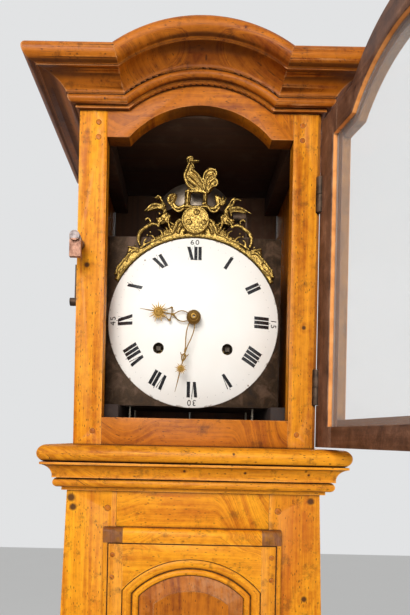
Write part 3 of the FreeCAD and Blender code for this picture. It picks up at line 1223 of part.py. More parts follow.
def anchor():
    """The anchor over the escape wheel, its arbor, and the crutch that drives the pendulum."""
    shaft = rod("anchor_arbor", "y", (MIDDLE, PIVOT_Z), (f"{CAGE_FRONT} + bar_inset",
                f"{SWING_Y} - eye_radius - crutch_radius / 2"), "escape_arbor")
    low = size(f"{CAGE_BACK} - escape_plane")
    thick = size("wheel_thickness")
    reach = size("escape_radius + pallet_clearance")
    drop = size("anchor_height - escape_height")
    width = size("pallet_width")
    angle = math.radians(PALLET_ANGLE)
    arms = None
    for side in (-1, 1):
        tip = (side * reach * math.sin(angle), reach * math.cos(angle) - drop)
        out = (side * (reach + width) * math.sin(angle), (reach + width) * math.cos(angle) - drop)
        arm = prism([(0, width), (out[0], out[1] + width), out, tip, (0, -width)], thick)
        arms = arm if arms is None else arms.fuse(arm)
    claws = shape("anchor_claws", arms.removeSplitter(), (MIDDLE, str(low), PIVOT_Z))
    crutch_y = f"({SWING_Y} - eye_radius - 2 * crutch_radius)"
    foot_z = f"({PIVOT_Z} - crutch_length)"
    crutch = rod("crutch", "z", (MIDDLE, crutch_y), (foot_z, PIVOT_Z), "crutch_radius")
    foot = board("crutch_foot", (f"{MIDDLE} - crutch_foot_half", f"{MIDDLE} + crutch_foot_half"),
                 (f"{crutch_y} - crutch_radius - running_gap",
                  f"{crutch_y} + crutch_radius + running_gap"),
                 (f"{foot_z} - crutch_radius - running_gap",
                  f"{foot_z} + crutch_radius + running_gap"))
    prongs = [rod("crutch_prong", "y", (f"{MIDDLE} {side} (rod_radius + crutch_radius)", foot_z),
                  (crutch_y, f"{SWING_Y} + rod_radius"), "crutch_radius") for side in "-+"]
    node("anchor", fused("anchor", [shaft, claws, crutch, foot] + prongs))


PALLET_ANGLE = 48


def pendulum():
    """A wire rod hung by its eye, with a lens-shaped bob on a rating nut."""
    bob_z = f"({PIVOT_Z} - pendulum_length)"
    eye = rod("pendulum_eye_blank", "y", (MIDDLE, PIVOT_Z), (f"{SWING_Y} - eye_half",
              f"{SWING_Y} + eye_half"), "eye_radius")
    wire = rod("pendulum_wire", "z", (MIDDLE, SWING_Y), (f"{bob_z} - bob_radius - rod_tail",
               f"{PIVOT_Z} - eye_radius / 2"), "rod_radius")
    lens = turned("bob", [("0", "-bob_thickness / 2"), ("bob_radius", "-bob_edge / 2",),
                  ("bob_radius", "bob_edge / 2"), ("0", "bob_thickness / 2")], "front",
                  (MIDDLE, SWING_Y, bob_z))
    nut = rod("rating_nut", "z", (MIDDLE, SWING_Y), (f"{bob_z} - bob_radius - "
              "rating_nut_height", f"{bob_z} - bob_radius"), "rating_nut_radius")
    hole = rod("pendulum_bore", "y", (MIDDLE, PIVOT_Z), (f"{SWING_Y} - eye_half - cut_overrun",
               f"{SWING_Y} + eye_half + cut_overrun"), "pin_radius + running_gap")
    node("pendulum", cut("pendulum", fused("pendulum_solid", [eye, wire, lens, nut]), [hole]))


def weights():
    """Two weights, each hung by a pulley in the bight of its rope."""
    axle_z = "(weight_foot + weight_height + weight_neck + pulley_radius)"
    for side, name in (("-", "strike"), ("+", "going")):
        x = f"({MIDDLE} {side} {ROPE_X})"
        far_y = f"({ROPE_Y} + 2 * pulley_radius)"
        near = rod(name + "_rope_near", "z", (x, ROPE_Y), (axle_z, DRUM_Z), "rope_radius")
        far = rod(name + "_rope_far", "z", (x, far_y), (axle_z, CAGE_FOOT), "rope_radius")
        bight = doc.addObject("Part::Torus", fresh(name + "_rope_bight"))
        bind(bight, "Radius1", "pulley_radius")
        bind(bight, "Radius2", "rope_radius")
        bight.Angle3 = 180
        bight.Placement = Placement(Vector(), Rotation(Vector(0, 1, 0), 90)
                                    * Rotation(Vector(0, 0, 1), -90))
        for letter, place in zip("xyz", (x, PULLEY_Y, axle_z)):
            bind(bight, f"Placement.Base.{letter}", place)
        node(name + "_rope", fused(name + "_rope", [near, far, bight]))
        groove = "(pulley_radius - rope_radius - rope_gap)"
        rim = "(pulley_radius + pulley_flange)"
        half = "pulley_width / 2"
        section = [("axle_radius + running_gap", f"-{half}"), (rim, f"-{half}"),
                   (rim, f"-{half} + wheel_thickness"), (groove, "-rope_radius"),
                   (groove, "rope_radius"), (rim, f"{half} - wheel_thickness"), (rim, half),
                   ("axle_radius + running_gap", half)]
        node(name + "_pulley", turned(name + "_pulley", section, "x", (x, PULLEY_Y, axle_z)))
        cheek = f"(pulley_width / 2 + stirrup_gap)"
        low = "(weight_foot + weight_height + weight_neck - 2 * stirrup_gap)"
        y = (f"{PULLEY_Y} - stirrup_width / 2", f"{PULLEY_Y} + stirrup_width / 2")
        foot = f"({axle_z} - {rim} - 2 * stirrup_gap - stirrup_thickness)"
        iron = [board(name + "_cheek", (f"{x} - {cheek} - stirrup_thickness", f"{x} - {cheek}"), y,
                      (foot, f"{axle_z} + stirrup_width / 2")),
                board(name + "_cheek", (f"{x} + {cheek}", f"{x} + {cheek} + stirrup_thickness"),
                      y, (foot, f"{axle_z} + stirrup_width / 2")),
                board(name + "_yoke", (f"{x} - {cheek} - stirrup_thickness",
                      f"{x} + {cheek} + stirrup_thickness"), y,
                      (foot, f"{foot} + stirrup_thickness")),
                rod(name + "_axle", "x", (PULLEY_Y, axle_z), (f"{x} - {cheek} - "
                    "stirrup_thickness", f"{x} + {cheek} + stirrup_thickness"), "axle_radius"),
                rod(name + "_shank", "z", (x, PULLEY_Y), ("weight_foot + weight_height", foot),
                    "weight_rod_radius"),
                turned(name + "_body", [("0", "0"), ("weight_radius", "0"),
                       ("weight_radius", "weight_height - weight_radius / 2",
                        "weight_radius * weight_shoulder_share",
                        "weight_height - weight_radius * weight_crown_share"),
                       ("weight_rod_radius", "weight_height"), ("0", "weight_height")], "z",
                       (x, PULLEY_Y, "weight_foot"))]
        node(name + "_weight", fused(name + "_weight", iron))


ROOSTER_SHARES = (
    (0.036, 1.910), (-0.016, 1.930), (-0.060, 1.956), (-0.098, 1.950), (-0.124, 1.922),
    (-0.108, 1.893), (-0.128, 1.840), (-0.146, 1.780), (-0.144, 1.715), (-0.120, 1.650),
    (-0.080, 1.598), (-0.020, 1.566), (0.060, 1.556), (0.112, 1.524), (0.160, 1.540),
    (0.212, 1.606), (0.246, 1.668), (0.244, 1.702), (0.222, 1.730), (0.240, 1.770),
    (0.222, 1.806), (0.170, 1.816), (0.116, 1.800), (0.090, 1.756), (0.094, 1.706),
    (0.084, 1.668), (0.058, 1.676), (0.030, 1.716), (-0.004, 1.752), (-0.034, 1.784),
    (-0.032, 1.822), (-0.044, 1.868), (-0.010, 1.890))
BIRD_SHARES = (
    (-0.482, 1.462), (-0.478, 1.490), (-0.446, 1.496), (-0.412, 1.462), (-0.372, 1.400),
    (-0.346, 1.360), (-0.340, 1.310), (-0.366, 1.290), (-0.398, 1.318), (-0.440, 1.326),
    (-0.540, 1.316), (-0.606, 1.306), (-0.560, 1.350), (-0.500, 1.390), (-0.444, 1.386),
    (-0.420, 1.410), (-0.446, 1.452))
SCROLL_SHARES = (
    (-0.412, 1.138), (-0.440, 1.160), (-0.500, 1.168), (-0.512, 1.196), (-0.548, 1.222),
    (-0.588, 1.208), (-0.592, 1.172), (-0.566, 1.160), (-0.556, 1.130), (-0.612, 1.112),
    (-0.664, 1.060), (-0.690, 0.994), (-0.682, 0.920), (-0.640, 0.880), (-0.602, 0.886),
    (-0.624, 0.940), (-0.622, 1.000), (-0.586, 1.056), (-0.520, 1.098), (-0.450, 1.106))
SPRIG_SHARES = (
    (-0.622, 0.880), (-0.668, 0.872), (-0.730, 0.886), (-0.786, 0.882), (-0.792, 0.850),
    (-0.826, 0.770), (-0.868, 0.700), (-0.920, 0.620), (-0.948, 0.560), (-0.912, 0.552),
    (-0.850, 0.606), (-0.800, 0.660), (-0.740, 0.740), (-0.690, 0.792), (-0.640, 0.832))
ARM_SHARES = (
    (-0.100, 1.376), (-0.150, 1.352), (-0.220, 1.336), (-0.262, 1.356), (-0.290, 1.396),
    (-0.318, 1.426), (-0.316, 1.470), (-0.262, 1.516), (-0.228, 1.524), (-0.222, 1.470),
    (-0.240, 1.420), (-0.218, 1.390), (-0.160, 1.396), (-0.110, 1.416))
STEM_SHARES = (
    (-0.130, 1.080), (-0.200, 1.110), (-0.262, 1.150), (-0.320, 1.180), (-0.392, 1.160),
    (-0.452, 1.176), (-0.460, 1.226), (-0.404, 1.262), (-0.388, 1.302), (-0.340, 1.306),
    (-0.292, 1.250), (-0.282, 1.190), (-0.216, 1.190), (-0.160, 1.230), (-0.140, 1.180))
POST_SHARES = ((-0.136, 1.340), (0.142, 1.340), (0.136, 1.560), (-0.130, 1.572))
GAP_SHARES = ((-0.060, 1.396), (0.084, 1.396), (0.086, 1.536), (-0.054, 1.540))
FOLIAGE_SHARES = (
    (-0.530, 0.954), (-0.487, 0.989), (-0.464, 1.016), (-0.428, 1.032), (-0.385, 1.060),
    (-0.354, 1.091), (-0.319, 1.106), (-0.295, 1.150), (-0.252, 1.146), (-0.227, 1.181),
    (-0.194, 1.212), (-0.143, 1.224), (-0.119, 1.067), (-0.237, 1.018), (-0.354, 0.977),
    (-0.448, 0.930), (-0.520, 0.899), (-0.540, 0.930))


def crest():
    """The cast openwork crest over the dial: a bird on a pedestal, two birds and scrolls."""
    radius, thick = size("dial_radius"), size("crest_thickness")
    inner = radius + size("crest_gap")
    outer = inner + size("crest_band")
    band = disc(outer, thick).cut(disc(inner, thick))
    spread = math.radians(size("crest_band_angle"))
    far = BAND_REACH_SHARE * radius
    wedge = prism([(0, 0), (-far * math.sin(spread), far * math.cos(spread)), (-far, far),
                   (far, far), (far * math.sin(spread), far * math.cos(spread))], thick)
    solids = [band.common(wedge), disc(size("medallion_radius"), thick + size("medallion_rise"),
                                       0, MEDALLION_SHARE * radius)]
    solids[1].translate(Vector(0, -size("medallion_rise"), 0))
    for shares in (BIRD_SHARES, SCROLL_SHARES, SPRIG_SHARES, ARM_SHARES, STEM_SHARES,
                   FOLIAGE_SHARES):
        cast = casting(shares, radius, thick)
        solids += [cast, cast.mirror(Vector(), Vector(1, 0, 0))]
    solids.append(casting(ROOSTER_SHARES, radius, thick))
    post, gap = (prism([(x * radius, z * radius) for x, z in shares], thick)
                 for shares in (POST_SHARES, GAP_SHARES))
    solids.append(post.cut(gap))
    whole = solids[0].multiFuse(solids[1:])
    bottom = f"({PLATE_Y} - crest_thickness)"
    node("crest", shape("crest", whole, (MIDDLE, bottom, DIAL_Z)))


BAND_REACH_SHARE = 2.0
MEDALLION_SHARE = 1.2


def casting(shares, radius, thick):
    """A flat form inside a smooth closed line through places given as shares of the dial."""
    line = Part.BSplineCurve()
    line.interpolate(Points=[Vector(x * radius, 0, z * radius) for x, z in shares],
                     PeriodicFlag=True)
    return Part.Face(Part.Wire(line.toShape())).extrude(Vector(0, thick, 0))


def check_and_write():
    """Stop on any failed object, then write each sub-part's shape."""
    doc.recompute()
    for item in doc.Objects:
        if "Invalid" in item.State or "Error" in item.State:
            raise RuntimeError(f"{item.Name} failed: {item.State}")
    os.makedirs("parts", exist_ok=True)
    for label, item in nodes.items():
        if item.Shape.isNull() or not item.Shape.isValid() or not item.Shape.Solids:
            raise RuntimeError(f"{label} has no valid solid")
    for label, item in nodes.items():
        item.Shape.exportStep(f"parts/{label}.step")
    print(len(nodes), "sub-parts written")


case_frame()
case_box()
mouldings()
trunk_door()
turn_button()
hood_frame()
cornice()
catch()
hood_door()
movement_cage()
bell_and_hammer()
dial()
crest()
hands()
trains()
pendulum()
weights()
check_and_write()
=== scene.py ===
"""Looks of the longcase clock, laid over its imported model."""
import json
import math

import bpy
from mathutils import Matrix, Vector
from mathutils.bvhtree import BVHTree


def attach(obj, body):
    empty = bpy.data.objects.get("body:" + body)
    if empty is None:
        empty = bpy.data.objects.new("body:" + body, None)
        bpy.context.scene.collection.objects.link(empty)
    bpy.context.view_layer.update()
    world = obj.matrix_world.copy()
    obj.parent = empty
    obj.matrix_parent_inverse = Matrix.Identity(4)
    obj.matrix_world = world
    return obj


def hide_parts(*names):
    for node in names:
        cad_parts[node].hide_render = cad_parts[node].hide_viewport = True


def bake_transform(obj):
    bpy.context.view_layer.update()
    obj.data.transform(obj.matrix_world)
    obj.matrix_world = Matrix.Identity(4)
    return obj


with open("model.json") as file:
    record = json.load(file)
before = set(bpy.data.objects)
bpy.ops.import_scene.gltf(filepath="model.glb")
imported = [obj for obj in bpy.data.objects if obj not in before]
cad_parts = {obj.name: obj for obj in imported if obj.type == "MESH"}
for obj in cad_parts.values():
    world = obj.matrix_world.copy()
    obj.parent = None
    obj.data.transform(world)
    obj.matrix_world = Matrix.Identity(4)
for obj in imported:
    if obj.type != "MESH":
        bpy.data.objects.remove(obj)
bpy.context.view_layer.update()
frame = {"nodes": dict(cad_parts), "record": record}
NODES = frame["nodes"]
BODIES = frame["record"]["behaviour"]["bodies"]
BODY_OF = {node: body for body, names in BODIES.items() for node in names}
SLOT_OF = {entry["node"]: entry["material_slot"] for entry in frame["record"]["subparts"]}

DIAL_MIDDLE = Vector((-0.004, 0, 1.920))
DIAL_RADIUS, DIAL_BACK, RIM, BULGE = 0.124, -0.077, 0.003, 0.026
# Each hole in the dial: x and z from its middle, and its radius.
DIAL_HOLES = ((0, 0, 0.008), (-0.049, -0.041, 0.0078), (0.049, -0.041, 0.0078))
# Small chips near the dial's rim: x and z from its middle.
DIAL_CHIPS = ((-0.072, 0.089), (-0.091, -0.083), (0.082, -0.090))
HOUR_ANGLE, MINUTE_ANGLE = math.radians(279.2), math.radians(192.9)
# A near-black brown, used for real dirt and for painted shade.
SOOT_AND_SHADE = (0.035, 0.012, 0.005, 1)
# The grey of the painted sheen and dust on sloping faces.
SHEEN_AND_DUST_GREY = (0.40, 0.25, 0.15, 1)
CAMERA_PLACE, FOCAL_LENGTH, LENS_SHIFT = (-0.0147, -0.8108, 1.7509), 29.29, (0.0373, 0.2118)
CAMERA_TURNS = ((0.157, "Z"), (90.099, "X"), (1.198, "Z"))
# Each lamp: name, place, the place it aims at, width and power.
LAMPS = (("key", (-0.75, -2.4, 3.1), (0, 0, 1.85), 1.2, 55),
         ("front", (-0.15, -3.0, 2.0), (0, 0, 1.8), 1.5, 36),
         ("fill", (1.8, -2.3, 1.6), (0, 0, 1.6), 1.8, 8),
         ("back", (0.6, 2.3, 2.9), (0, 0, 1.6), 1.6, 24))


def view_from_the_photograph():
    """The camera in front of the hood, and plain soft light from the front left."""
    data = bpy.data.cameras.new("camera")
    data.sensor_width = 36
    data.lens = FOCAL_LENGTH
    data.shift_x, data.shift_y = LENS_SHIFT
    data.clip_start = 0.02
    camera = bpy.data.objects.new("camera", data)
    bpy.context.collection.objects.link(camera)
    turn = Matrix()
    for degrees, axis in CAMERA_TURNS:
        turn = turn @ Matrix.Rotation(math.radians(degrees), 4, axis)
    camera.matrix_world = Matrix.Translation(CAMERA_PLACE) @ turn
    bpy.context.scene.camera = camera
    for name, place, aim, size, power in LAMPS:
        light = bpy.data.lights.new(name, "AREA")
        light.size = size
        light.energy = power
        lamp = bpy.data.objects.new(name, light)
        aimed = (Vector(aim) - Vector(place)).to_track_quat("-Z", "Y")
        lamp.matrix_world = Matrix.Translation(place) @ aimed.to_matrix().to_4x4()
        bpy.context.collection.objects.link(lamp)


class Signal:
    """A shader value that Python's operators carry on with Math nodes."""

    def __init__(self, finish, socket):
        self.finish, self.socket = finish, socket

    def math(self, operation, *values):
        return self.finish.node("ShaderNodeMath", {"operation": operation}, values)

    def __add__(self, other):
        return self.math("ADD", self, other)

    def __mul__(self, other):
        return self.math("MULTIPLY", self, other)

    def __sub__(self, other):
        return self.math("SUBTRACT", self, other)

    def __rsub__(self, other):
        return self.math("SUBTRACT", other, self)

    def __truediv__(self, other):
        return self.math("DIVIDE", self, other)

    def __pow__(self, other):
        return self.math("POWER", self, other)

    __radd__, __rmul__ = __add__, __mul__

    def sine(self):
        return self.math("SINE", self)

    def size(self):
        return self.math("ABSOLUTE", self)

    def rising(self, low, high):
        """0 below low, 1 above high, and a smooth step between."""
        return self.finish.node("ShaderNodeMapRange", {"interpolation_type": "SMOOTHSTEP"},
                                (self, low, high, 0.0, 1.0))


class Finish:
    """A material: its nodes come from Python expressions.

    place holds the three object coordinates, in metres.
    """

    def __init__(self, name):
        self.material = bpy.data.materials.new(name)
        self.material.use_nodes = True
        self.tree = self.material.node_tree
        self.shader = self.tree.nodes["Principled BSDF"]
        self.place = self.parts(self.node("ShaderNodeTexCoord", output="Object"))

    def node(self, kind, settings=(), inputs=(), output=0):
        item = self.tree.nodes.new(kind)
        for key, value in dict(settings).items():
            if key == "stops":
                ramp = item.color_ramp.elements
                while len(ramp) < len(value):
                    ramp.new(0.5)
                for stop, (place, colour) in zip(ramp, value):
                    stop.position, stop.color = place, colour
            else:
                setattr(item, key, value)
        for key, value in inputs.items() if isinstance(inputs, dict) else enumerate(inputs):
            self.feed(item.inputs[key], value)
        return Signal(self, item.outputs[output])

    def feed(self, socket, value):
        if isinstance(value, Signal):
            self.tree.links.new(value.socket, socket)
        else:
            socket.default_value = value

    def parts(self, vector):
        return [self.node("ShaderNodeSeparateXYZ", inputs=(vector,), output=axis)
                for axis in range(3)]

    def facing(self):
        """The three parts of the surface's direction."""
        return self.parts(self.node("ShaderNodeNewGeometry", output="Normal"))

    def noise(self, x, y, z, detail=3.0, rough=0.55, twist=0.0):
        point = self.node("ShaderNodeCombineXYZ", inputs=(x, y, z))
        return self.node("ShaderNodeTexNoise", inputs={
            "Vector": point, "Scale": 1.0, "Detail": detail, "Roughness": rough,
            "Distortion": twist})

    def even_noise(self, scale, seed=0.0, **others):
        """Noise that is equally fine in all directions."""
        x, y, z = self.place
        return self.noise(x * scale, y * scale, z * scale + seed, **others)

    def dots(self, x, y, z, share, radius):
        """Small round spots in some cells of a grid whose cells are 1 wide."""
        point = self.node("ShaderNodeCombineXYZ", inputs=(x, y, z))
        cell = {"Vector": point, "Scale": 1.0, "Randomness": 1.0}
        far = self.node("ShaderNodeTexVoronoi", inputs=cell)
        chance = self.node("ShaderNodeTexVoronoi", inputs=cell, output="Color")
        picked = self.parts(chance)[0].rising(1.0 - share, 1.001 - share)
        return (1 - far.rising(radius * 0.6, radius)) * picked

    def blend(self, amount, first, second):
        return self.node("ShaderNodeMix", {"data_type": "RGBA"},
                         {0: amount, 6: first, 7: second}, output=2)

    def ramp(self, value, stops):
        return self.node("ShaderNodeValToRGB", {"stops": stops}, (value,))

    def nooks(self, reach, samples=6):
        """1 deep in corners and 0 in the open."""
        return 1 - self.node("ShaderNodeAmbientOcclusion", {"samples": samples},
                             {"Distance": reach}, output="AO")

    def edges(self, width):
        """1 along sharp edges and 0 on flat faces."""
        soft = self.node("ShaderNodeBevel", {"samples": 4}, {"Radius": width})
        hard = self.node("ShaderNodeNewGeometry", output="Normal")
        same = self.node("ShaderNodeVectorMath", {"operation": "DOT_PRODUCT"}, (soft, hard),
                         output="Value")
        return (1 - same).rising(0.01, 0.22)

    def dress(self, colour, rough, bump=(), metal=0.0, **others):
        """Feed the shader; bump is a list of (height, metres)."""
        self.feed(self.shader.inputs["Base Color"], colour)
        self.feed(self.shader.inputs["Roughness"], rough)
        self.feed(self.shader.inputs["Metallic"], metal)
        for name, value in others.items():
            self.feed(self.shader.inputs[name.replace("_", " ")], value)
        normal = None
        for height, metres in bump:
            sockets = {"Strength": 1.0, "Distance": metres, "Height": height}
            if normal:
                sockets["Normal"] = normal
            normal = self.node("ShaderNodeBump", inputs=sockets)
        if normal:
            self.feed(self.shader.inputs["Normal"], normal)
        return self.material


def middle_of(first, second, share=0.5):
    """A colour between two others."""
    return tuple(a * (1 - share) + b * share for a, b in zip(first, second))


def shaded(colour, share):
    """A colour made darker or lighter."""
    return tuple(part * share for part in colour[:3]) + (1,)


# The lightest and the darkest colour of each wood.
HONEY = ((0.86, 0.33, 0.012, 1), (0.42, 0.105, 0.003, 1))
GOLDEN = ((0.98, 0.40, 0.014, 1), (0.54, 0.145, 0.004, 1))
RUSSET = ((0.60, 0.175, 0.006, 1), (0.23, 0.048, 0.002, 1))
CHESTNUT = ((0.54, 0.155, 0.008, 1), (0.17, 0.030, 0.002, 1))


def board_axes(finish, along):
    """How far across and how far along a board's grain a place lies."""
    x, y, z = finish.place
    if along == "x":
        side = finish.facing()[0].size().rising(0.08, 0.20)
        return z + (y * (1 - side) + x * side) * 0.7, x * (1 - side) + y * side
    return (x + y * 0.7, z) if along == "z" else (z + x * 0.7, y)


def knotted(finish, knots):
    """How far knots bend the rings round them, and where the knots themselves are."""
    x, y, z = finish.place
    swirl, knot = 0.0, 0.0
    for knot_x, knot_z, size in knots:
        far = ((x - knot_x) ** 2.0 + (z - knot_z) ** 2.0) ** 0.5 / size
        swirl = (1 - far.rising(0.5, 3.4)) * 5.0 + swirl
        knot = (1 - far.rising(0.45, 1.1)) + knot
    return swirl, knot


def fruitwood(name, along, seed, tone, knots=(), charred=None, sheen_and_dust=0.0):
    """Old waxed fruitwood: drifting rings, fibres, pores, wormholes, and painted shade in corners
    and on faces that look down.

    knots are (x, z, size); charred is (low z, high z) between which the wood turns dark;
    the last argument is how far sloping faces turn grey: a painted sheen, with some dust.
    """
    finish = Finish(name)
    light, dark = tone
    x, y, z = finish.place
    across, run = board_axes(finish, along)
    swirl, knot = knotted(finish, knots)
    drift = finish.noise(across * 4.0 + seed * 3.7, run * 1.7, seed, detail=2.0)
    broad = finish.noise(across * 12.0, run * 2.2 + seed, seed * 2.0, detail=4.0)
    rings = (across * 170.0 + drift * 17.0 + broad * 5.0 + swirl).sine() * 0.5 + 0.5
    streak = finish.noise(across * 190.0, run * 4.2 + seed, seed, detail=5.0, rough=0.64)
    figure = finish.noise(across * 40.0, run * 15.0 + seed, seed, detail=3.0, twist=0.3)
    fibre = finish.noise(across * 1300.0, run * 34.0, seed, detail=2.0)
    mottle = finish.even_noise(110.0, seed, detail=4.0, rough=0.62)
    shade = rings * 0.07 + streak * 0.48 + broad * 0.38 + figure * 0.20 + mottle * 0.24 - 0.175
    colour = finish.ramp(shade, [(0.24, middle_of(dark, SOOT_AND_SHADE, 0.45)), (0.38, dark),
                                 (0.51, middle_of(dark, light, 0.6)), (0.64, light)])
    warm = finish.noise(across * 16.0 + 9.0, run * 5.0 - seed, seed, detail=3.0)
    colour = finish.blend(warm.rising(0.50, 0.72) * 0.45, colour,
                          middle_of(dark, (0.50, 0.10, 0.012, 1), 0.6))
    pores = fibre.rising(0.58, 0.72) * streak.rising(0.35, 0.6)
    colour = finish.blend(pores * 0.5, colour, SOOT_AND_SHADE)
    flecks = finish.dots(across * 420.0, run * 150.0, seed, 0.36, 0.32)
    colour = finish.blend(flecks * mottle.rising(0.36, 0.56) * 0.72, colour, SOOT_AND_SHADE)
    # Painted shade: occlusion in the narrowest joints darkens them, and the rubbed edges stay out
    # of it.
    joint_shade = finish.nooks(0.0018).rising(0.10, 0.34)
    rubbed = finish.edges(0.0026) * figure.rising(0.36, 0.58) * (1 - joint_shade)
    colour = finish.blend(rubbed * 0.62, colour, middle_of(light, (1.0, 0.60, 0.28, 1), 0.5))
    # Painted sheen and dust: sloping faces turn grey in patches, as where they catch the light.
    if sheen_and_dust:
        sloping = (1 - finish.facing()[1].size()).rising(0.012, 0.03)
        patchy = (broad * 0.6 + mottle * 0.4).rising(0.40, 0.58)
        colour = finish.blend(sloping * patchy * sheen_and_dust, colour, SHEEN_AND_DUST_GREY)
    # Painted shade: faces that look down are darkened towards near-black.
    below = (0 - finish.facing()[2]).rising(0.86, 0.98)
    colour = finish.blend(below * 0.72, colour, SOOT_AND_SHADE)
    if charred:
        above, under = (z.rising(height, height + 0.0008) for height in charred)
        burnt = finish.ramp(mottle * 0.55 + fibre * 0.45, [
            (0.36, (0.035, 0.012, 0.006, 1)), (0.62, (0.26, 0.10, 0.045, 1))])
        colour = finish.blend(above * (1 - under) * (mottle.rising(0.30, 0.62) * 0.35 + 0.60),
                              colour, burnt)
    scuff = finish.even_noise(48.0, seed, detail=6.0, rough=0.72)
    colour = finish.blend(scuff.rising(0.54, 0.68) * 0.46, colour, SOOT_AND_SHADE)
    # Painted shade: occlusion darkens hollows over a few centimetres and, more strongly, tight
    # crevices.
    soft = finish.nooks(0.026).rising(0.15, 1.0)
    crevice_shade = finish.nooks(0.0045).rising(0.22, 0.62)
    colour = finish.blend(soft * 0.62, colour, middle_of(dark, SOOT_AND_SHADE, 0.75))
    colour = finish.blend(crevice_shade * 0.9, colour, SOOT_AND_SHADE)
    colour = finish.blend(joint_shade * 0.8, colour, SOOT_AND_SHADE)
    worm = finish.dots(x * 60.0, y * 60.0, z * 60.0 + seed, 0.10, 0.055)
    colour = finish.blend(worm * 0.92, colour, (0.02, 0.008, 0.004, 1))
    if knots:
        colour = finish.blend(knot * 0.92, colour, (0.045, 0.014, 0.006, 1))
    rough = 0.33 + streak * 0.13 + scuff * 0.16 + crevice_shade * 0.25
    wavy = finish.even_noise(22.0, detail=1.0)
    return finish.dress(colour, rough, [
        (fibre * 0.45 + streak * 0.55 - pores * 0.5, 0.00026), (wavy, 0.0012),
        (1 - worm - flecks * 0.3, 0.0004)], Coat_Weight=0.07, Coat_Roughness=0.2,
        Specular_IOR_Level=0.14)


def bare_wood(name, along, seed, light=(0.105, 0.038, 0.011, 1), dark=(0.016, 0.007, 0.003, 1)):
    """Unfinished boards, darkened by age."""
    finish = Finish(name)
    x, y, z = finish.place
    across, run = {"z": (x + y * 0.7, z), "x": (z + y, x), "y": (z + x, y)}[along]
    broad = finish.noise(across * 8.0 + seed, run * 1.2, seed, detail=3.0)
    streak = finish.noise(across * 170.0, run * 4.0 + seed, seed, detail=4.0, rough=0.65)
    colour = finish.ramp(broad * 0.5 + streak * 0.55, [(0.25, dark), (0.75, light)])
    dust = finish.even_noise(30.0, detail=4.0)
    colour = finish.blend(dust.rising(0.5, 0.7) * 0.16, colour, (0.19, 0.14, 0.09, 1))
    return finish.dress(colour, 0.72 + streak * 0.15, [(streak, 0.0004)])


HINGE_PIN, OPEN_ANGLE = (0.164, -0.1303), math.radians(103)
# The open door's faces, as y when it is shut.
DOOR_INNER_FACE, REBATE_FLOOR, DOOR_OUTER_FACE = -0.1306, -0.1396, -0.1512


def door_paint(name, seed, along):
    """The open door's inner side: thin brown paint, a bare rebate and an ochre edge."""
    finish = Finish(name)
    x, y, z = finish.place
    turn_x, turn_y = math.cos(OPEN_ANGLE), math.sin(OPEN_ANGLE)
    shut_x = (x - HINGE_PIN[0]) * turn_x + (y - HINGE_PIN[1]) * turn_y
    shut_y = (y - HINGE_PIN[1]) * turn_x - (x - HINGE_PIN[0]) * turn_y + HINGE_PIN[1]
    across, run = (shut_x, z) if along == "z" else (z, shut_x)
    streak = finish.noise(across * 130.0, run * 9.0 + seed, seed, detail=5.0, rough=0.68)
    patch = finish.noise(x * 46.0, y * 46.0, z * 30.0 + seed, detail=6.0, rough=0.68, twist=0.4)
    speck = finish.even_noise(420.0, detail=3.0)
    mixed = patch * 0.55 + streak * 0.3 + speck * 0.15
    paint = finish.ramp(mixed, [
        (0.36, (0.030, 0.012, 0.008, 1)), (0.46, (0.095, 0.040, 0.022, 1)),
        (0.55, (0.16, 0.072, 0.040, 1)), (0.66, (0.30, 0.155, 0.09, 1))])
    bare = finish.ramp(mixed, [(0.34, (0.44, 0.140, 0.026, 1)), (0.50, (0.78, 0.30, 0.075, 1)),
                               (0.66, (0.90, 0.44, 0.15, 1))])
    edge = finish.ramp(mixed, [(0.36, (0.13, 0.052, 0.010, 1)), (0.62, (0.44, 0.185, 0.034, 1))])
    on_face = shut_y.rising(DOOR_INNER_FACE - 0.0016, DOOR_INNER_FACE - 0.0008)
    in_rebate = shut_y.rising(REBATE_FLOOR - 0.0012, REBATE_FLOOR - 0.0004)
    outside = 1 - shut_y.rising(DOOR_OUTER_FACE, DOOR_OUTER_FACE + 0.0007)
    colour = finish.blend(in_rebate, edge, bare)
    colour = finish.blend(on_face, colour, paint)
    colour = finish.blend(outside, colour, bare)
    chipped = finish.edges(0.0022) * patch.rising(0.40, 0.60)
    colour = finish.blend(chipped * 0.75, colour, (0.62, 0.40, 0.24, 1))
    # Painted shade: occlusion darkens the corners.
    colour = finish.blend(finish.nooks(0.004).rising(0.2, 0.6) * 0.85, colour, SOOT_AND_SHADE)
    return finish.dress(colour, 0.40 + patch * 0.3, [(streak, 0.0004), (patch, 0.0005)],
                        Specular_IOR_Level=0.3)


def rusted_iron(name, seed, light=(0.085, 0.052, 0.032, 1)):
    """Dark forged iron with brown rust in patches."""
    finish = Finish(name)
    x, y, z = finish.place
    patch = finish.noise(x * 55.0 + seed, y * 55.0, z * 55.0, detail=6.0, rough=0.65, twist=0.5)
    speck = finish.even_noise(600.0, seed, detail=3.0)
    colour = finish.ramp(patch, [(0.30, (0.022, 0.015, 0.011, 1)), (0.52, light),
                                 (0.75, middle_of(light, (0.15, 0.065, 0.028, 1)))])
    colour = finish.blend(speck.rising(0.58, 0.70) * 0.35, colour,
                          shaded(light, 2.0))
    colour = finish.blend(finish.edges(0.0015) * 0.35, colour, (0.22, 0.19, 0.16, 1))
    metal = 0.75 - patch.rising(0.45, 0.7) * 0.6
    return finish.dress(colour, 0.42 + patch * 0.35, [(patch, 0.0006), (speck, 0.0001)], metal)


CATCH_HEAD_FOOT = 2.0075


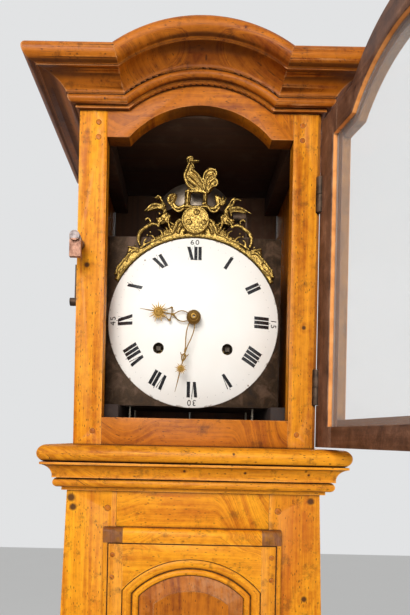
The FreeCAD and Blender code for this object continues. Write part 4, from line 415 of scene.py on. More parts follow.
def copper_catch(name):
    """The catch: a mauve-grey riveted head over a block rubbed to a pink copper colour."""
    finish = Finish(name)
    patch = finish.even_noise(130.0, detail=5.0, rough=0.65)
    block = finish.ramp(patch, [(0.36, (0.16, 0.065, 0.035, 1)), (0.62, (0.50, 0.26, 0.17, 1))])
    head = finish.ramp(patch, [(0.36, (0.11, 0.085, 0.08, 1)), (0.62, (0.34, 0.28, 0.26, 1))])
    in_head = finish.place[2].rising(CATCH_HEAD_FOOT, CATCH_HEAD_FOOT + 0.001)
    colour = finish.blend(in_head, block, head)
    colour = finish.blend(finish.edges(0.0016) * 0.5, colour, (0.72, 0.50, 0.36, 1))
    # Painted shade: occlusion darkens the recesses.
    colour = finish.blend(finish.nooks(0.004).rising(0.2, 0.7) * 0.85, colour, SOOT_AND_SHADE)
    return finish.dress(colour, 0.42 + patch * 0.2, [(patch, 0.0003)], 0.55)


def old_brass(name, light=(0.86, 0.60, 0.20, 1), dark=(0.06, 0.033, 0.012, 1), reach=0.006,
              grain=0.00012, rough=0.24, chased=0.0):
    """Cast or sheet brass, bright where it is rubbed and brown in its hollows."""
    finish = Finish(name)
    cloud = finish.even_noise(90.0, detail=4.0)
    speck = finish.even_noise(900.0, detail=3.0)
    hollow = finish.nooks(reach, 8).rising(0.14, 0.80)
    colour = finish.ramp(cloud * 0.7 + speck * 0.3, [
        (0.35, shaded(light, 0.70)), (0.62, light)])
    colour = finish.blend(hollow * 0.92, colour, dark)
    worn = rough + cloud * 0.16 + hollow * 0.35
    bumps = [(speck, grain)]
    if chased:
        relief = finish.even_noise(300.0, detail=2.0)
        colour = finish.blend((1 - relief.rising(0.40, 0.56)) * chased, colour, dark)
        bumps.append((relief, 0.0040 * chased))
    return finish.dress(colour, worn, bumps, 1.0 - hollow * 0.3)


BOB_HEIGHT, BOB_RADIUS = 1.030, 0.070
WINDING_SQUARE_BACK = -0.090


def worn_steel(name, bob=False):
    """Filed steel of arbors and rods; the pendulum's bob is faced with brass."""
    finish = Finish(name)
    x, y, z = finish.place
    cloud = finish.noise(x * 120.0, y * 120.0, z * 40.0, detail=4.0)
    colour = finish.ramp(cloud, [(0.35, (0.16, 0.14, 0.12, 1)), (0.65, (0.42, 0.40, 0.37, 1))])
    if bob:
        inside = 1 - (z - BOB_HEIGHT).size().rising(BOB_RADIUS + 0.0005, BOB_RADIUS + 0.0015)
        brass = finish.ramp(cloud, [(0.35, (0.40, 0.26, 0.09, 1)), (0.65, (0.74, 0.53, 0.22, 1))])
        colour = finish.blend(inside, colour, brass)
    return finish.dress(colour, 0.3 + cloud * 0.25, [(cloud, 0.00015)], 1.0)


def worn_drum(name):
    """A brass drum whose winding square, in front of the plate, is dark steel."""
    finish = Finish(name)
    cloud = finish.even_noise(120.0, detail=4.0)
    brass = finish.ramp(cloud, [(0.35, (0.34, 0.22, 0.07, 1)), (0.65, (0.60, 0.42, 0.16, 1))])
    steel = finish.ramp(cloud, [(0.35, (0.014, 0.011, 0.009, 1)),
                                (0.65, (0.075, 0.058, 0.040, 1))])
    behind = finish.place[1].rising(WINDING_SQUARE_BACK, WINDING_SQUARE_BACK + 0.002)
    colour = finish.blend(behind, steel, brass)
    return finish.dress(colour, 0.36 + cloud * 0.2, [(cloud, 0.00015)], 0.9)


def enamel(name):
    """White vitreous enamel, slightly warm, with a little wear round the rim."""
    finish = Finish(name)
    x, y, z = finish.place
    cloud = finish.even_noise(14.0, detail=2.0)
    colour = finish.ramp(cloud, [(0.3, (0.84, 0.80, 0.73, 1)), (0.7, (0.87, 0.84, 0.78, 1))])
    radius = ((x - DIAL_MIDDLE.x) ** 2.0 + (z - DIAL_MIDDLE.z) ** 2.0) ** 0.5
    chip = finish.even_noise(130.0, detail=4.0, rough=0.6)
    rim = radius.rising(DIAL_RADIUS - 0.0035, DIAL_RADIUS + 0.0005)
    stain = rim * chip.rising(0.56, 0.62)
    colour = finish.blend(stain * 0.85, colour, (0.16, 0.10, 0.06, 1))
    worn = radius.rising(DIAL_RADIUS - 0.0015, DIAL_RADIUS - 0.0002)
    colour = finish.blend(worn * 0.25, colour, (0.45, 0.36, 0.25, 1))
    # Painted shade: occlusion darkens the enamel near the parts around and over it.
    colour = finish.blend(finish.nooks(0.008) * 0.5, colour, (0.35, 0.27, 0.18, 1))
    for across, up in DIAL_CHIPS:
        far = ((x - DIAL_MIDDLE.x - across) ** 2.0 + (z - DIAL_MIDDLE.z - up) ** 2.0) ** 0.5
        flake = 1 - (far + chip * 0.0016).rising(0.0016, 0.0027)
        colour = finish.blend(flake * 0.8, colour, (0.22, 0.13, 0.07, 1))
    return finish.dress(colour, 0.46 + stain * 0.3, [(cloud, 0.0003)], Specular_IOR_Level=0.3)


def ink(name, colour=(0.010, 0.010, 0.012, 1)):
    """Fired black paint of the figures, thin in places."""
    finish = Finish(name)
    thin = finish.even_noise(500.0, detail=3.0)
    mixed = finish.blend(thin.rising(0.55, 0.8) * 0.30, colour, (0.10, 0.095, 0.095, 1))
    return finish.dress(mixed, 0.22 + thin * 0.1)


def pane(name):
    """Clear old glass with a slight wave."""
    finish = Finish(name)
    x, y, z = finish.place
    wave = finish.noise(x * 9.0, y * 9.0, z * 6.0, detail=1.0)
    dust = finish.even_noise(40.0, detail=4.0)
    return finish.dress((0.93, 0.96, 0.95, 1), 0.02 + dust.rising(0.5, 0.8) * 0.06,
                        [(wave, 0.0012)], Alpha=0.13, IOR=1.45)


def hemp(name):
    """Pale twisted cord."""
    finish = Finish(name)
    x, y, z = finish.place
    fuzz = finish.noise(x * 900.0, y * 900.0, z * 260.0, detail=3.0)
    colour = finish.ramp(fuzz, [(0.35, (0.26, 0.21, 0.14, 1)), (0.65, (0.62, 0.56, 0.44, 1))])
    # Painted shade: occlusion darkens the grooves between the yarns.
    colour = finish.blend(finish.nooks(0.0015) * 0.7, colour, (0.10, 0.07, 0.04, 1))
    return finish.dress(colour, 0.85, [(fuzz, 0.0003)])


def studio_paint(name, colour):
    """A studio floor's plain surface, paler to the camera than its light makes it."""
    finish = Finish(name)
    tone = finish.even_noise(2.0, detail=1.0)
    finish.dress(finish.ramp(tone, [
        (0.3, shaded(colour, 0.97)), (0.7, colour)]), 0.8)
    seen = finish.node("ShaderNodeLightPath", output="Is Camera Ray") * 0.5
    pale = finish.node("ShaderNodeEmission", inputs={"Color": colour})
    mixed = finish.node("ShaderNodeMixShader", inputs={0: seen, 2: pale})
    finish.tree.links.new(finish.shader.outputs[0], mixed.socket.node.inputs[1])
    finish.feed(finish.tree.nodes["Material Output"].inputs["Surface"], mixed)
    return finish.material


def only(*pieces):
    """Select these pieces and nothing else."""
    if bpy.context.mode != "OBJECT":
        bpy.ops.object.mode_set(mode="OBJECT")
    bpy.ops.object.select_all(action="DESELECT")
    for piece in pieces:
        piece.select_set(True)
    bpy.context.view_layer.objects.active = pieces[0]


def opened(piece):
    """Edit a piece with all of it selected."""
    only(piece)
    bpy.ops.object.mode_set(mode="EDIT")
    bpy.ops.mesh.select_all(action="SELECT")


def closed(piece):
    """Weld a piece, turn its faces outwards and leave edit mode."""
    if bpy.context.mode != "EDIT_MESH":
        opened(piece)
    bpy.ops.mesh.select_all(action="SELECT")
    bpy.ops.mesh.remove_doubles(threshold=0.000001)
    bpy.ops.mesh.normals_make_consistent(inside=False)
    bpy.ops.object.mode_set(mode="OBJECT")
    return piece


def unselected(mesh):
    """Take the selection off all of a mesh, outside edit mode."""
    for item in (*mesh.vertices, *mesh.edges, *mesh.polygons):
        item.select = False


def picked(piece, test):
    """In edit mode, select the faces that a test on their middle and direction picks."""
    bpy.ops.object.mode_set(mode="OBJECT")
    unselected(piece.data)
    for face in piece.data.polygons:
        face.select = test(face.center, face.normal)
    bpy.ops.object.mode_set(mode="EDIT")


def pushed(distance):
    """In edit mode, extrude the selected faces along y."""
    bpy.ops.mesh.extrude_region_move(TRANSFORM_OT_translate={"value": (0, distance, 0)})


def applied(piece, kind, **settings):
    """Add a modifier with its settings and apply it."""
    only(piece)
    modifier = piece.modifiers.new(kind.lower(), kind)
    for key, value in settings.items():
        setattr(modifier, key, value)
    bpy.ops.object.modifier_apply(modifier=modifier.name)
    return piece


def carved(piece, tool):
    """Cut with a tool and throw the tool away."""
    applied(piece, "BOOLEAN", operation="DIFFERENCE", object=tool, solver="EXACT")
    bpy.data.objects.remove(tool)
    return piece


def joined(pieces):
    """Make one object of several."""
    only(*pieces)
    if len(pieces) > 1:
        bpy.ops.object.join()
    return pieces[0]


def settle(piece, name, material, body, slot, *replaced, smooth=35):
    """Name a finished piece, put its place in its mesh, give it its material, hang it on its body
    and hide the CAD parts it stands in for.
    """
    only(piece)
    bpy.ops.object.transform_apply(location=True, rotation=True, scale=True)
    bpy.ops.object.shade_smooth_by_angle(angle=math.radians(smooth))
    piece.name = name
    piece.data.name = name
    piece.data.materials.clear()
    piece.data.materials.append(material)
    if body:
        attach(piece, body)
    if replaced:
        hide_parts(*replaced)
    return piece


def twin(name, mesh):
    """A new object with a mesh's copy."""
    piece = bpy.data.objects.new(name, mesh.copy())
    bpy.context.collection.objects.link(piece)
    return piece


def copied(node, whole_faces=True):
    """A merged copy of a CAD node's mesh, its flat faces whole again."""
    piece = twin(node + "_copy", NODES[node].data)
    opened(piece)
    bpy.ops.mesh.remove_doubles(threshold=0.00001)
    if whole_faces:
        bpy.ops.mesh.dissolve_limited(angle_limit=math.radians(0.4))
    bpy.ops.object.mode_set(mode="OBJECT")
    return piece


def eased(node, material, ease=0.0009):
    """A board as the joiner leaves it: the CAD solid with its sharp edges taken off."""
    piece = copied(node, whole_faces=ease > 0)
    if ease:
        applied(piece, "BEVEL", width=ease, segments=2, limit_method="ANGLE",
                angle_limit=math.radians(32), use_clamp_overlap=True)
    return settle(piece, node + "_worked", material, BODY_OF[node], SLOT_OF[node], node)


def repainted(node, material):
    """A CAD node whose shape is right gets its finish."""
    data = NODES[node].data
    data.materials.clear()
    data.materials.append(material)


def outlined(corners, y):
    """A flat face that looks to the front, from its corners (x, z)."""
    bpy.ops.mesh.primitive_circle_add(vertices=len(corners), fill_type="NGON")
    piece = bpy.context.object
    for vertex, (x, z) in zip(piece.data.vertices, corners):
        vertex.co = (x, y, z)
    piece.data.update()
    if piece.data.polygons[0].normal.y > 0:
        opened(piece)
        bpy.ops.mesh.flip_normals()
        bpy.ops.object.mode_set(mode="OBJECT")
    return piece


def turned(section, middle, steps=48):
    """A solid spun round y from half its section, given as (radius, y)."""
    bpy.ops.mesh.primitive_circle_add(vertices=len(section), fill_type="NOTHING")
    piece = bpy.context.object
    for vertex, (radius, y) in zip(piece.data.vertices, section):
        vertex.co = (middle[0] + radius, y, middle[2])
    opened(piece)
    bpy.ops.mesh.spin(steps=steps, angle=2 * math.pi, center=middle, axis=(0, 1, 0))
    return closed(piece)


def wire(places, thickness, round_steps=2, smooth_steps=5):
    """A round wire through places, of changing radius, with closed ends."""
    bpy.ops.curve.primitive_bezier_curve_add()
    piece = bpy.context.object
    data = piece.data
    data.dimensions = "3D"
    line = data.splines[0]
    line.bezier_points.add(len(places) - len(line.bezier_points))
    for point, place, radius in zip(line.bezier_points, places, thickness):
        point.co = place
        point.radius = radius * 1000
        point.handle_left_type = point.handle_right_type = "AUTO"
    data.bevel_depth = 0.001
    data.bevel_resolution = round_steps
    data.resolution_u = smooth_steps
    data.use_fill_caps = True
    only(piece)
    bpy.ops.object.convert(target="MESH")
    return bpy.context.object


def ball(place, radius):
    """A round grain of a casting."""
    bpy.ops.mesh.primitive_ico_sphere_add(subdivisions=2, radius=radius, location=place)
    piece = bpy.context.object
    only(piece)
    bpy.ops.object.transform_apply(location=True)
    return piece


def dome_y(x, z, lift=0.0):
    """The height of the dial's dome at a place on its face."""
    far2 = (x - DIAL_MIDDLE.x) ** 2 + (z - DIAL_MIDDLE.z) ** 2
    ball_radius = (DIAL_RADIUS ** 2 + BULGE ** 2) / (2 * BULGE)
    return DIAL_BACK - RIM - BULGE + ball_radius - math.sqrt(ball_radius ** 2 - far2) - lift


def dial_face():
    """The domed enamel dial on its rim, with its three holes."""
    wall, rings = 0.002, 26
    radii = [DIAL_RADIUS * math.sin(math.pi / 2 * step / rings) for step in range(rings + 1)]
    outside = [(radius, dome_y(DIAL_MIDDLE.x + radius, DIAL_MIDDLE.z)) for radius in radii]
    inside = [(min(radius, DIAL_RADIUS - wall), y + wall) for radius, y in outside]
    section = outside + [(DIAL_RADIUS, DIAL_BACK), (DIAL_RADIUS - wall, DIAL_BACK)]
    piece = turned(section + list(reversed(inside)), DIAL_MIDDLE, steps=160)
    for x, z, radius in DIAL_HOLES:
        bpy.ops.mesh.primitive_cylinder_add(vertices=48, radius=radius, depth=0.08, location=(
            DIAL_MIDDLE.x + x, -0.09, DIAL_MIDDLE.z + z), rotation=(math.pi / 2, 0, 0))
        carved(piece, bpy.context.object)
    return settle(piece, "dial_face", enamel("white_enamel"), "case", "enamel", "dial", smooth=40)


def laid_on_dial(pieces, name, material, lift=0.00025):
    """Flat black shapes given as faces in dial coordinates, laid on the dome."""
    piece = joined(pieces)
    bpy.ops.object.transform_apply(location=True, rotation=True, scale=True)
    for vertex in piece.data.vertices:
        x, z = vertex.co.x + DIAL_MIDDLE.x, vertex.co.y + DIAL_MIDDLE.z
        vertex.co = (x, dome_y(x, z, lift), z)
    return settle(piece, name, material, "case", "enamel", smooth=40)


def stroke(left_foot, right_foot, right_head, left_head):
    """One painted stroke between four corners, cut fine enough to follow the dome."""
    bpy.ops.mesh.primitive_grid_add(x_subdivisions=2, y_subdivisions=8, size=2)
    piece = bpy.context.object
    for vertex in piece.data.vertices:
        u, v = (vertex.co.x + 1) / 2, (vertex.co.y + 1) / 2
        low = Vector(left_foot).lerp(Vector(right_foot), u)
        high = Vector(left_head).lerp(Vector(right_head), u)
        at = low.lerp(high, v)
        vertex.co = (at.x, at.y, 0)
    return piece


NUMERALS = "I II III IIII V VI VII VIII IX X XI XII".split()


def numeral(text, hour):
    """A roman hour between two circles, its feet towards the middle."""
    low, high = 0.706 * DIAL_RADIUS, 0.880 * DIAL_RADIUS
    widths = {"I": 0.0060, "V": 0.0102, "X": 0.0094}
    thick, hair, serif = 0.0047, 0.0003, 0.0003
    start = -sum(widths[letter] for letter in text) / 2
    angle = math.radians(90 - 30 * hour)
    out = Vector((math.cos(angle), math.sin(angle)))
    side = Vector((math.sin(angle), -math.cos(angle)))
    pieces = []

    def bar(low_x, high_x, low_width, high_width, foot=low, head=high):
        corners = ((low_x - low_width / 2, foot), (low_x + low_width / 2, foot),
                   (high_x + high_width / 2, head), (high_x - high_width / 2, head))
        pieces.append(stroke(*(out * at + side * x for x, at in corners)))

    for letter in text:
        width = widths[letter]
        middle = start + width / 2
        if letter == "I":
            bar(middle, middle, thick, thick)
            for at in (low, high):
                bar(middle, middle, width * 0.88, width * 0.88, at - serif / 2, at + serif / 2)
        elif letter == "V":
            bar(middle - 0.0002, middle - width * 0.27, thick * 0.9, thick)
            bar(middle + 0.0012, middle + width * 0.30, hair, thick * 0.25)
        else:
            bar(middle + width * 0.29, middle - width * 0.29, thick, thick)
            bar(middle - width * 0.34, middle + width * 0.34, hair, hair)
        start += width
    return pieces


def figures(text, angle):
    """Small plain numbers of the quarters, their tops outwards."""
    bpy.ops.object.text_add(location=(0, 0, 0))
    piece = bpy.context.object
    piece.data.body = text
    piece.data.size = 0.0118
    piece.data.align_x = "CENTER"
    piece.data.align_y = "CENTER"
    piece.data.space_character = 1.25
    only(piece)
    bpy.ops.object.convert(target="MESH")
    turn = Matrix.Rotation(-math.radians(angle), 4, "Z")
    at = Vector((math.sin(math.radians(angle)), math.cos(math.radians(angle)), 0))
    piece.matrix_world = Matrix.Translation(at * 0.939 * DIAL_RADIUS) @ turn
    return piece


def dial_paint():
    """The hours, the quarters' numbers and the minute track."""
    pieces = []
    for hour, text in enumerate(NUMERALS, start=1):
        pieces += numeral(text, hour)
    for text, angle in (("60", 0), ("15", 90), ("30", 180), ("45", 270)):
        pieces.append(figures(text, angle))
    laid_on_dial(pieces, "dial_numerals", ink("fired_black"))
    marks = []
    for minute in range(60):
        angle = math.radians(6 * minute)
        low, high, half = ((0.8835, 0.9015, 0.00045) if minute % 5 == 0 else
                           (0.8875, 0.8965, 0.00018))
        out = Vector((math.sin(angle), math.cos(angle))) * DIAL_RADIUS
        side = Vector((out.y, -out.x)).normalized() * half
        marks.append(stroke(out * low - side, out * low + side, out * high + side,
                            out * high - side))
    laid_on_dial(marks, "dial_minute_marks", ink("faded_black", (0.20, 0.19, 0.18, 1)))


def sun(middle, along, radius, short_ray, long_ray, rays, y):
    """A sun's domed disc with long and short rays in turn."""
    bpy.ops.mesh.primitive_circle_add(vertices=4 * rays, fill_type="NGON")
    piece = bpy.context.object
    for index, vertex in enumerate(piece.data.vertices):
        reach = (long_ray, radius * 0.94, short_ray, radius * 0.94)[index % 4]
        angle = 2 * math.pi * index / (4 * rays)
        place = middle + along * (reach * math.cos(angle)) + Vector(
            (-along.z, 0, along.x)) * (reach * math.sin(angle))
        vertex.co = (place.x, y, place.z)
    opened(piece)
    pushed(0.0009)
    closed(piece)
    disc = turned([(0, y - 0.0007), (radius * 0.22, y - 0.0006), (radius * 0.30, y - 0.0001),
                   (radius * 0.42, y - 0.0001), (radius * 0.52, y - 0.0009),
                   (radius * 0.78, y - 0.0008), (radius * 0.90, y - 0.0002),
                   (radius * 0.90, y + 0.0006), (0, y + 0.0006)], (middle.x, y, middle.z), 32)
    return joined([piece, disc])


def hand(name, body, angle, y, collet, loop, cross, disc, tip, material, stud):
    """A pierced hand: two bowed wires, a cross or leaf, a rayed sun and a blade.

    All lengths are along and across the hand from the arbor. The stud between the wires is
    (its place along the hand, radius, front, back).
    """
    along = Vector((math.sin(angle), 0, math.cos(angle)))
    across = Vector((-along.z, 0, along.x))
    centre = Vector((DIAL_MIDDLE.x, y, DIAL_MIDDLE.z))

    def at(place):
        return centre + along * place[0] + across * place[1]

    reach, stud_radius, front, back = stud
    pieces = [turned([(0, front), (stud_radius, front), (stud_radius, back), (0, back)],
                     (DIAL_MIDDLE.x + reach * math.sin(angle), 0,
                      DIAL_MIDDLE.z + reach * math.cos(angle)), 16)]
    for side in (-1, 1):
        pieces.append(wire([at((s, side * t)) for s, t in loop],
                           [0.00075] * (len(loop) - 1) + [0.0011]))
        for places, thickness in cross:
            pieces.append(wire([at((s, side * t)) for s, t in places], thickness))
    sun_at, radius, short_ray, long_ray, rays = disc
    pieces.append(wire([at(loop[-1]), at((sun_at, 0))], [0.0010, 0.0008]))
    pieces.append(sun(at((sun_at, 0)), along, radius, short_ray, long_ray, rays, y - 0.0002))
    pieces.append(wire([at((sun_at, 0)), at(((sun_at + tip) / 2, 0)), at((tip, 0))],
                       [0.0011, 0.00075, 0.0003]))
    pieces.append(collet)
    return settle(joined(pieces), name + "_pierced", material, body, "gilt_brass", name)


def hands():
    """The hour hand on its pipe and the minute hand under its domed collet."""
    gilt = old_brass("hand_gilding", (0.30, 0.17, 0.040, 1), (0.05, 0.025, 0.007, 1),
                     reach=0.0016, rough=0.45)
    hub = turned([(0.00405, -0.1113), (0.0088, -0.1113), (0.0092, -0.1107), (0.0090, -0.1094),
                  (0.0065, -0.1094), (0.0065, -0.0731), (0.00405, -0.0731)], DIAL_MIDDLE)
    brace = [((0.0312, 0), (0.0316, 0.0050), (0.0325, 0.0098)), (0.0008, 0.0007, 0.0017)]
    strut = [((0.0325, 0.0098), (0.0375, 0.0064), (0.0445, 0.0045)), (0.0012, 0.0006, 0.0006)]
    hand("hour_hand", "hour", HOUR_ANGLE, -0.1104, hub,
         [(0.0082, 0.0052), (0.0140, 0.0072), (0.0205, 0.0064), (0.0262, 0.0022), (0.0285, 0)],
         [brace, strut], (0.0500, 0.0066, 0.0118, 0.0156, 9), 0.0764, gilt,
         (0.0290, 0.0018, -0.1106, -0.1100))
    cap = turned([(0.0040, -0.1153), (0.0094, -0.1153), (0.0100, -0.1160), (0.0100, -0.1172),
                  (0.0094, -0.1190), (0.0080, -0.1210), (0.0064, -0.1221), (0.0058, -0.1219),
                  (0.0055, -0.1226), (0.0045, -0.1240), (0.0030, -0.1247), (0.0019, -0.1246),
                  (0.0017, -0.1236), (0.0017, -0.1195), (0.0040, -0.1194)], DIAL_MIDDLE, 64)
    leaf = [((0.0520, 0.0004), (0.0560, 0.0026), (0.0600, 0.0020), (0.0640, 0.0003)),
            (0.0007, 0.0012, 0.0009, 0.0005)]
    barb = [((0.0560, 0.0022), (0.0540, 0.0046), (0.0515, 0.0056)), (0.0009, 0.0007, 0.0004)]
    hand("minute_hand", "minute", MINUTE_ANGLE, -0.1163, cap,
         [(0.0092, 0.0040), (0.0180, 0.0048), (0.0300, 0.0036), (0.0420, 0.0012),
          (0.0498, 0.0003)],
         [leaf, barb], (0.0737, 0.0044, 0.0074, 0.0094, 8), 0.1073, gilt,
         (0.0500, 0.0012, -0.1165, -0.1161))


# The strokes of the crest: places as shares of the dial's radius from its middle, and the
# stroke's radius at each place in millimetres.
COCKEREL = (
    (((-0.117, 1.919), (-0.093, 1.944), (-0.060, 1.952), (-0.039, 1.944)), (1.2, 1.6, 1.4, 1.0)),
    (((-0.090, 1.905), (-0.070, 1.915)), (2.6, 3.0)),
    (((-0.051, 1.902), (-0.010, 1.908), (0.035, 1.911)), (2.0, 1.4, 0.7)),
    (((-0.051, 1.869), (-0.036, 1.846), (-0.022, 1.824)), (1.6, 1.5, 0.9)),
    (((-0.080, 1.886), (-0.109, 1.812), (-0.134, 1.738), (-0.117, 1.655), (-0.068, 1.589),
      (-0.002, 1.573), (0.080, 1.556)), (2.2, 2.4, 2.6, 2.4, 2.2, 2.0, 1.6)),
    (((-0.051, 1.804), (0.015, 1.746), (0.072, 1.664), (0.105, 1.565)), (2.2, 2.4, 2.2, 1.8)),
    (((-0.093, 1.697), (-0.018, 1.631), (0.072, 1.565)), (4.2, 3.4, 1.4)),
    (((-0.060, 1.745), (0.010, 1.690), (0.066, 1.610)), (1.0, 1.0, 0.7)),
    (((-0.090, 1.730), (-0.020, 1.670), (0.050, 1.590)), (1.0, 1.0, 0.7)),
    (((0.097, 1.655), (0.089, 1.721), (0.113, 1.779), (0.179, 1.812), (0.229, 1.787),
      (0.229, 1.729), (0.179, 1.705)), (1.5, 1.9, 2.0, 2.1, 2.0, 1.8, 1.2)),
    (((0.113, 1.598), (0.113, 1.664), (0.155, 1.738), (0.204, 1.754)), (1.5, 1.5, 1.5, 1.2)),
    (((0.130, 1.565), (0.163, 1.655), (0.220, 1.697), (0.249, 1.672), (0.237, 1.622),
      (0.196, 1.614)), (1.6, 1.8, 1.9, 1.8, 1.6, 1.1)),
    (((0.138, 1.532), (0.171, 1.589), (0.204, 1.614)), (1.6, 1.7, 1.2)),
    (((-0.002, 1.573), (0.030, 1.555), (0.050, 1.545)), (1.5, 1.3, 1.2)),
)
PEDESTAL = (
    (((-0.130, 1.548), (-0.010, 1.546), (0.118, 1.540)), (1.6, 1.5, 1.5)),
    (((-0.093, 1.535), (-0.099, 1.460), (-0.101, 1.392)), (2.6, 1.8, 2.4)),
    (((0.113, 1.532), (0.116, 1.470), (0.117, 1.400)), (1.4, 1.3, 1.8)),
    (((-0.134, 1.372), (0.006, 1.366), (0.142, 1.372)), (1.8, 1.9, 1.8)),
)
LEFT_SPRAY = (
    (((-0.134, 1.342), (-0.200, 1.309), (-0.257, 1.342), (-0.290, 1.392)), (1.8, 2.1, 2.0, 1.8)),
    (((-0.299, 1.383), (-0.320, 1.449), (-0.286, 1.500), (-0.241, 1.515)), (2.2, 3.2, 2.4, 0.9)),
    (((-0.290, 1.392), (-0.262, 1.440), (-0.240, 1.490)), (1.6, 1.8, 0.8)),
    (((-0.484, 1.458), (-0.439, 1.482), (-0.397, 1.425), (-0.364, 1.351)), (0.8, 1.8, 2.0, 3.6)),
    (((-0.364, 1.342), (-0.430, 1.375), (-0.496, 1.383), (-0.607, 1.301)), (2.8, 2.6, 2.2, 0.7)),
    (((-0.372, 1.330), (-0.450, 1.345), (-0.560, 1.310)), (1.8, 1.6, 0.8)),
)
RIGHT_SPRAY = (
    (((0.138, 1.375), (0.196, 1.309), (0.245, 1.318), (0.286, 1.375)), (1.8, 2.1, 2.0, 1.8)),
    (((0.303, 1.383), (0.300, 1.430), (0.276, 1.490)), (2.0, 2.8, 0.9)),
    (((0.310, 1.390), (0.336, 1.430), (0.360, 1.480)), (1.8, 2.6, 0.9)),
    (((0.306, 1.400), (0.318, 1.460), (0.322, 1.505)), (1.6, 2.0, 0.8)),
    (((0.538, 1.445), (0.476, 1.462), (0.434, 1.395), (0.393, 1.326)), (0.8, 1.8, 2.1, 3.6)),
    (((0.393, 1.320), (0.440, 1.352), (0.509, 1.362), (0.657, 1.297)), (2.8, 2.8, 2.4, 0.7)),
    (((0.400, 1.306), (0.470, 1.322), (0.580, 1.306)), (1.8, 1.6, 0.8)),
)
SCROLL = (
    (((-0.307, 1.260), (-0.316, 1.202), (-0.307, 1.136), (-0.274, 1.070)), (1.4, 1.8, 2.0, 1.8)),
    (((-0.266, 1.046), (-0.232, 1.130), (-0.180, 1.205), (-0.150, 1.195)), (2.2, 3.2, 2.8, 1.2)),
    (((-0.205, 1.050), (-0.180, 1.110), (-0.158, 1.150)), (2.6, 2.2, 1.2)),
    (((-0.591, 1.194), (-0.562, 1.219), (-0.529, 1.194), (-0.529, 1.161)), (1.2, 1.5, 1.5, 1.5)),
    (((-0.418, 1.132), (-0.494, 1.153), (-0.576, 1.112), (-0.645, 1.050), (-0.666, 0.974),
      (-0.645, 0.898)), (1.4, 2.4, 3.0, 3.2, 2.8, 1.8)),
    (((-0.440, 1.120), (-0.420, 1.175), (-0.385, 1.205)), (1.6, 1.6, 1.4)),
    (((-0.659, 0.857), (-0.728, 0.871), (-0.790, 0.884)), (1.8, 1.8, 1.0)),
    (((-0.659, 0.829), (-0.728, 0.829), (-0.776, 0.788), (-0.824, 0.733), (-0.859, 0.692)),
     (1.8, 2.1, 2.2, 2.1, 1.7)),
    (((-0.797, 0.774), (-0.800, 0.740), (-0.790, 0.705)), (1.6, 1.4, 0.9)),
    (((-0.859, 0.692), (-0.892, 0.650), (-0.925, 0.585)), (1.8, 1.7, 1.2)),
    (((-0.880, 0.575), (-0.850, 0.605), (-0.811, 0.643)), (1.4, 1.4, 0.8)),
    (((-0.935, 0.554), (-0.900, 0.581)), (1.8, 1.4)),
    (((-0.640, 0.870), (-0.560, 0.925), (-0.480, 0.960), (-0.370, 1.010), (-0.270, 1.050)),
     (1.6, 1.3, 1.5, 1.3, 1.6)),
    (((-0.470, 0.975), (-0.500, 1.010), (-0.540, 1.020)), (1.8, 1.6, 0.8)),
    (((-0.380, 1.020), (-0.400, 1.070), (-0.440, 1.090)), (1.8, 1.6, 0.8)),
    (((-0.330, 1.040), (-0.330, 1.090), (-0.350, 1.125)), (1.6, 1.6, 0.8)),
    (((-0.600, 0.905), (-0.590, 0.960), (-0.560, 0.985)), (1.5, 1.4, 0.8)),
)
# Round grains: the place as for the strokes, then the radius in millimetres.
SCROLL_GRAINS = (
    (-0.381, 1.208, 2.4), (-0.422, 1.276, 1.9), (-0.373, 1.285, 1.9), (-0.307, 1.243, 1.8),
    (-0.335, 1.180, 1.7), (-0.451, 1.215, 1.8), (-0.340, 1.262, 1.5), (-0.528, 1.057, 1.6),
    (-0.563, 1.022, 1.6), (-0.600, 1.080, 1.5), (-0.363, 1.084, 1.5), (-0.425, 1.008, 1.5),
    (-0.508, 0.967, 1.6), (-0.404, 0.970, 1.3), (-0.914, 0.637, 1.6), (-0.700, 0.900, 1.4),
    (-0.250, 1.100, 1.5), (-0.225, 1.165, 1.4), (-0.090, 1.405, 2.2), (-0.088, 1.560, 1.9),
)
FLOWERS = ((0.012, 1.286), (-0.076, 1.169), (0.100, 1.169))
CREST_FRONT, CREST_BACK, MEDALLION_FRONT = -0.081, -0.077, -0.086
MEDALLION_RISE, MEDALLION_RING, MEDALLION_INSIDE = 1.2, 0.0188, 0.0178


def on_crest(share_x, share_z, y=CREST_FRONT):
    """A place on the crest from shares of the dial's radius."""
    return Vector((DIAL_MIDDLE.x + share_x * DIAL_RADIUS, y,
                   DIAL_MIDDLE.z + share_z * DIAL_RADIUS))


def rounded_sheet():
    """The flat casting, its forms full in their middles and thin at their edges."""
    piece = copied("crest", whole_faces=False)
    corners = [vertex.co.copy() for vertex in piece.data.vertices]
    walls = BVHTree.FromPolygons(corners, [tuple(face.vertices) for face in piece.data.polygons
                                           if abs(face.normal.y) < 0.5])
    applied(piece, "REMESH", mode="VOXEL", voxel_size=0.0007)
    reach, thin, full, slack = 0.0034, 0.0012, CREST_BACK - CREST_FRONT, 0.0004
    for vertex in piece.data.vertices:
        height = CREST_BACK - vertex.co.y
        if height < slack or height > full + slack:
            continue
        far = walls.find_nearest((vertex.co.x, CREST_BACK - 0.002, vertex.co.z))[3]
        share = min(far / reach, 1.0)
        crown = thin + (full - thin) * math.sqrt(1 - (1 - share) ** 2)
        vertex.co.y = CREST_BACK - height * crown / full
    return piece


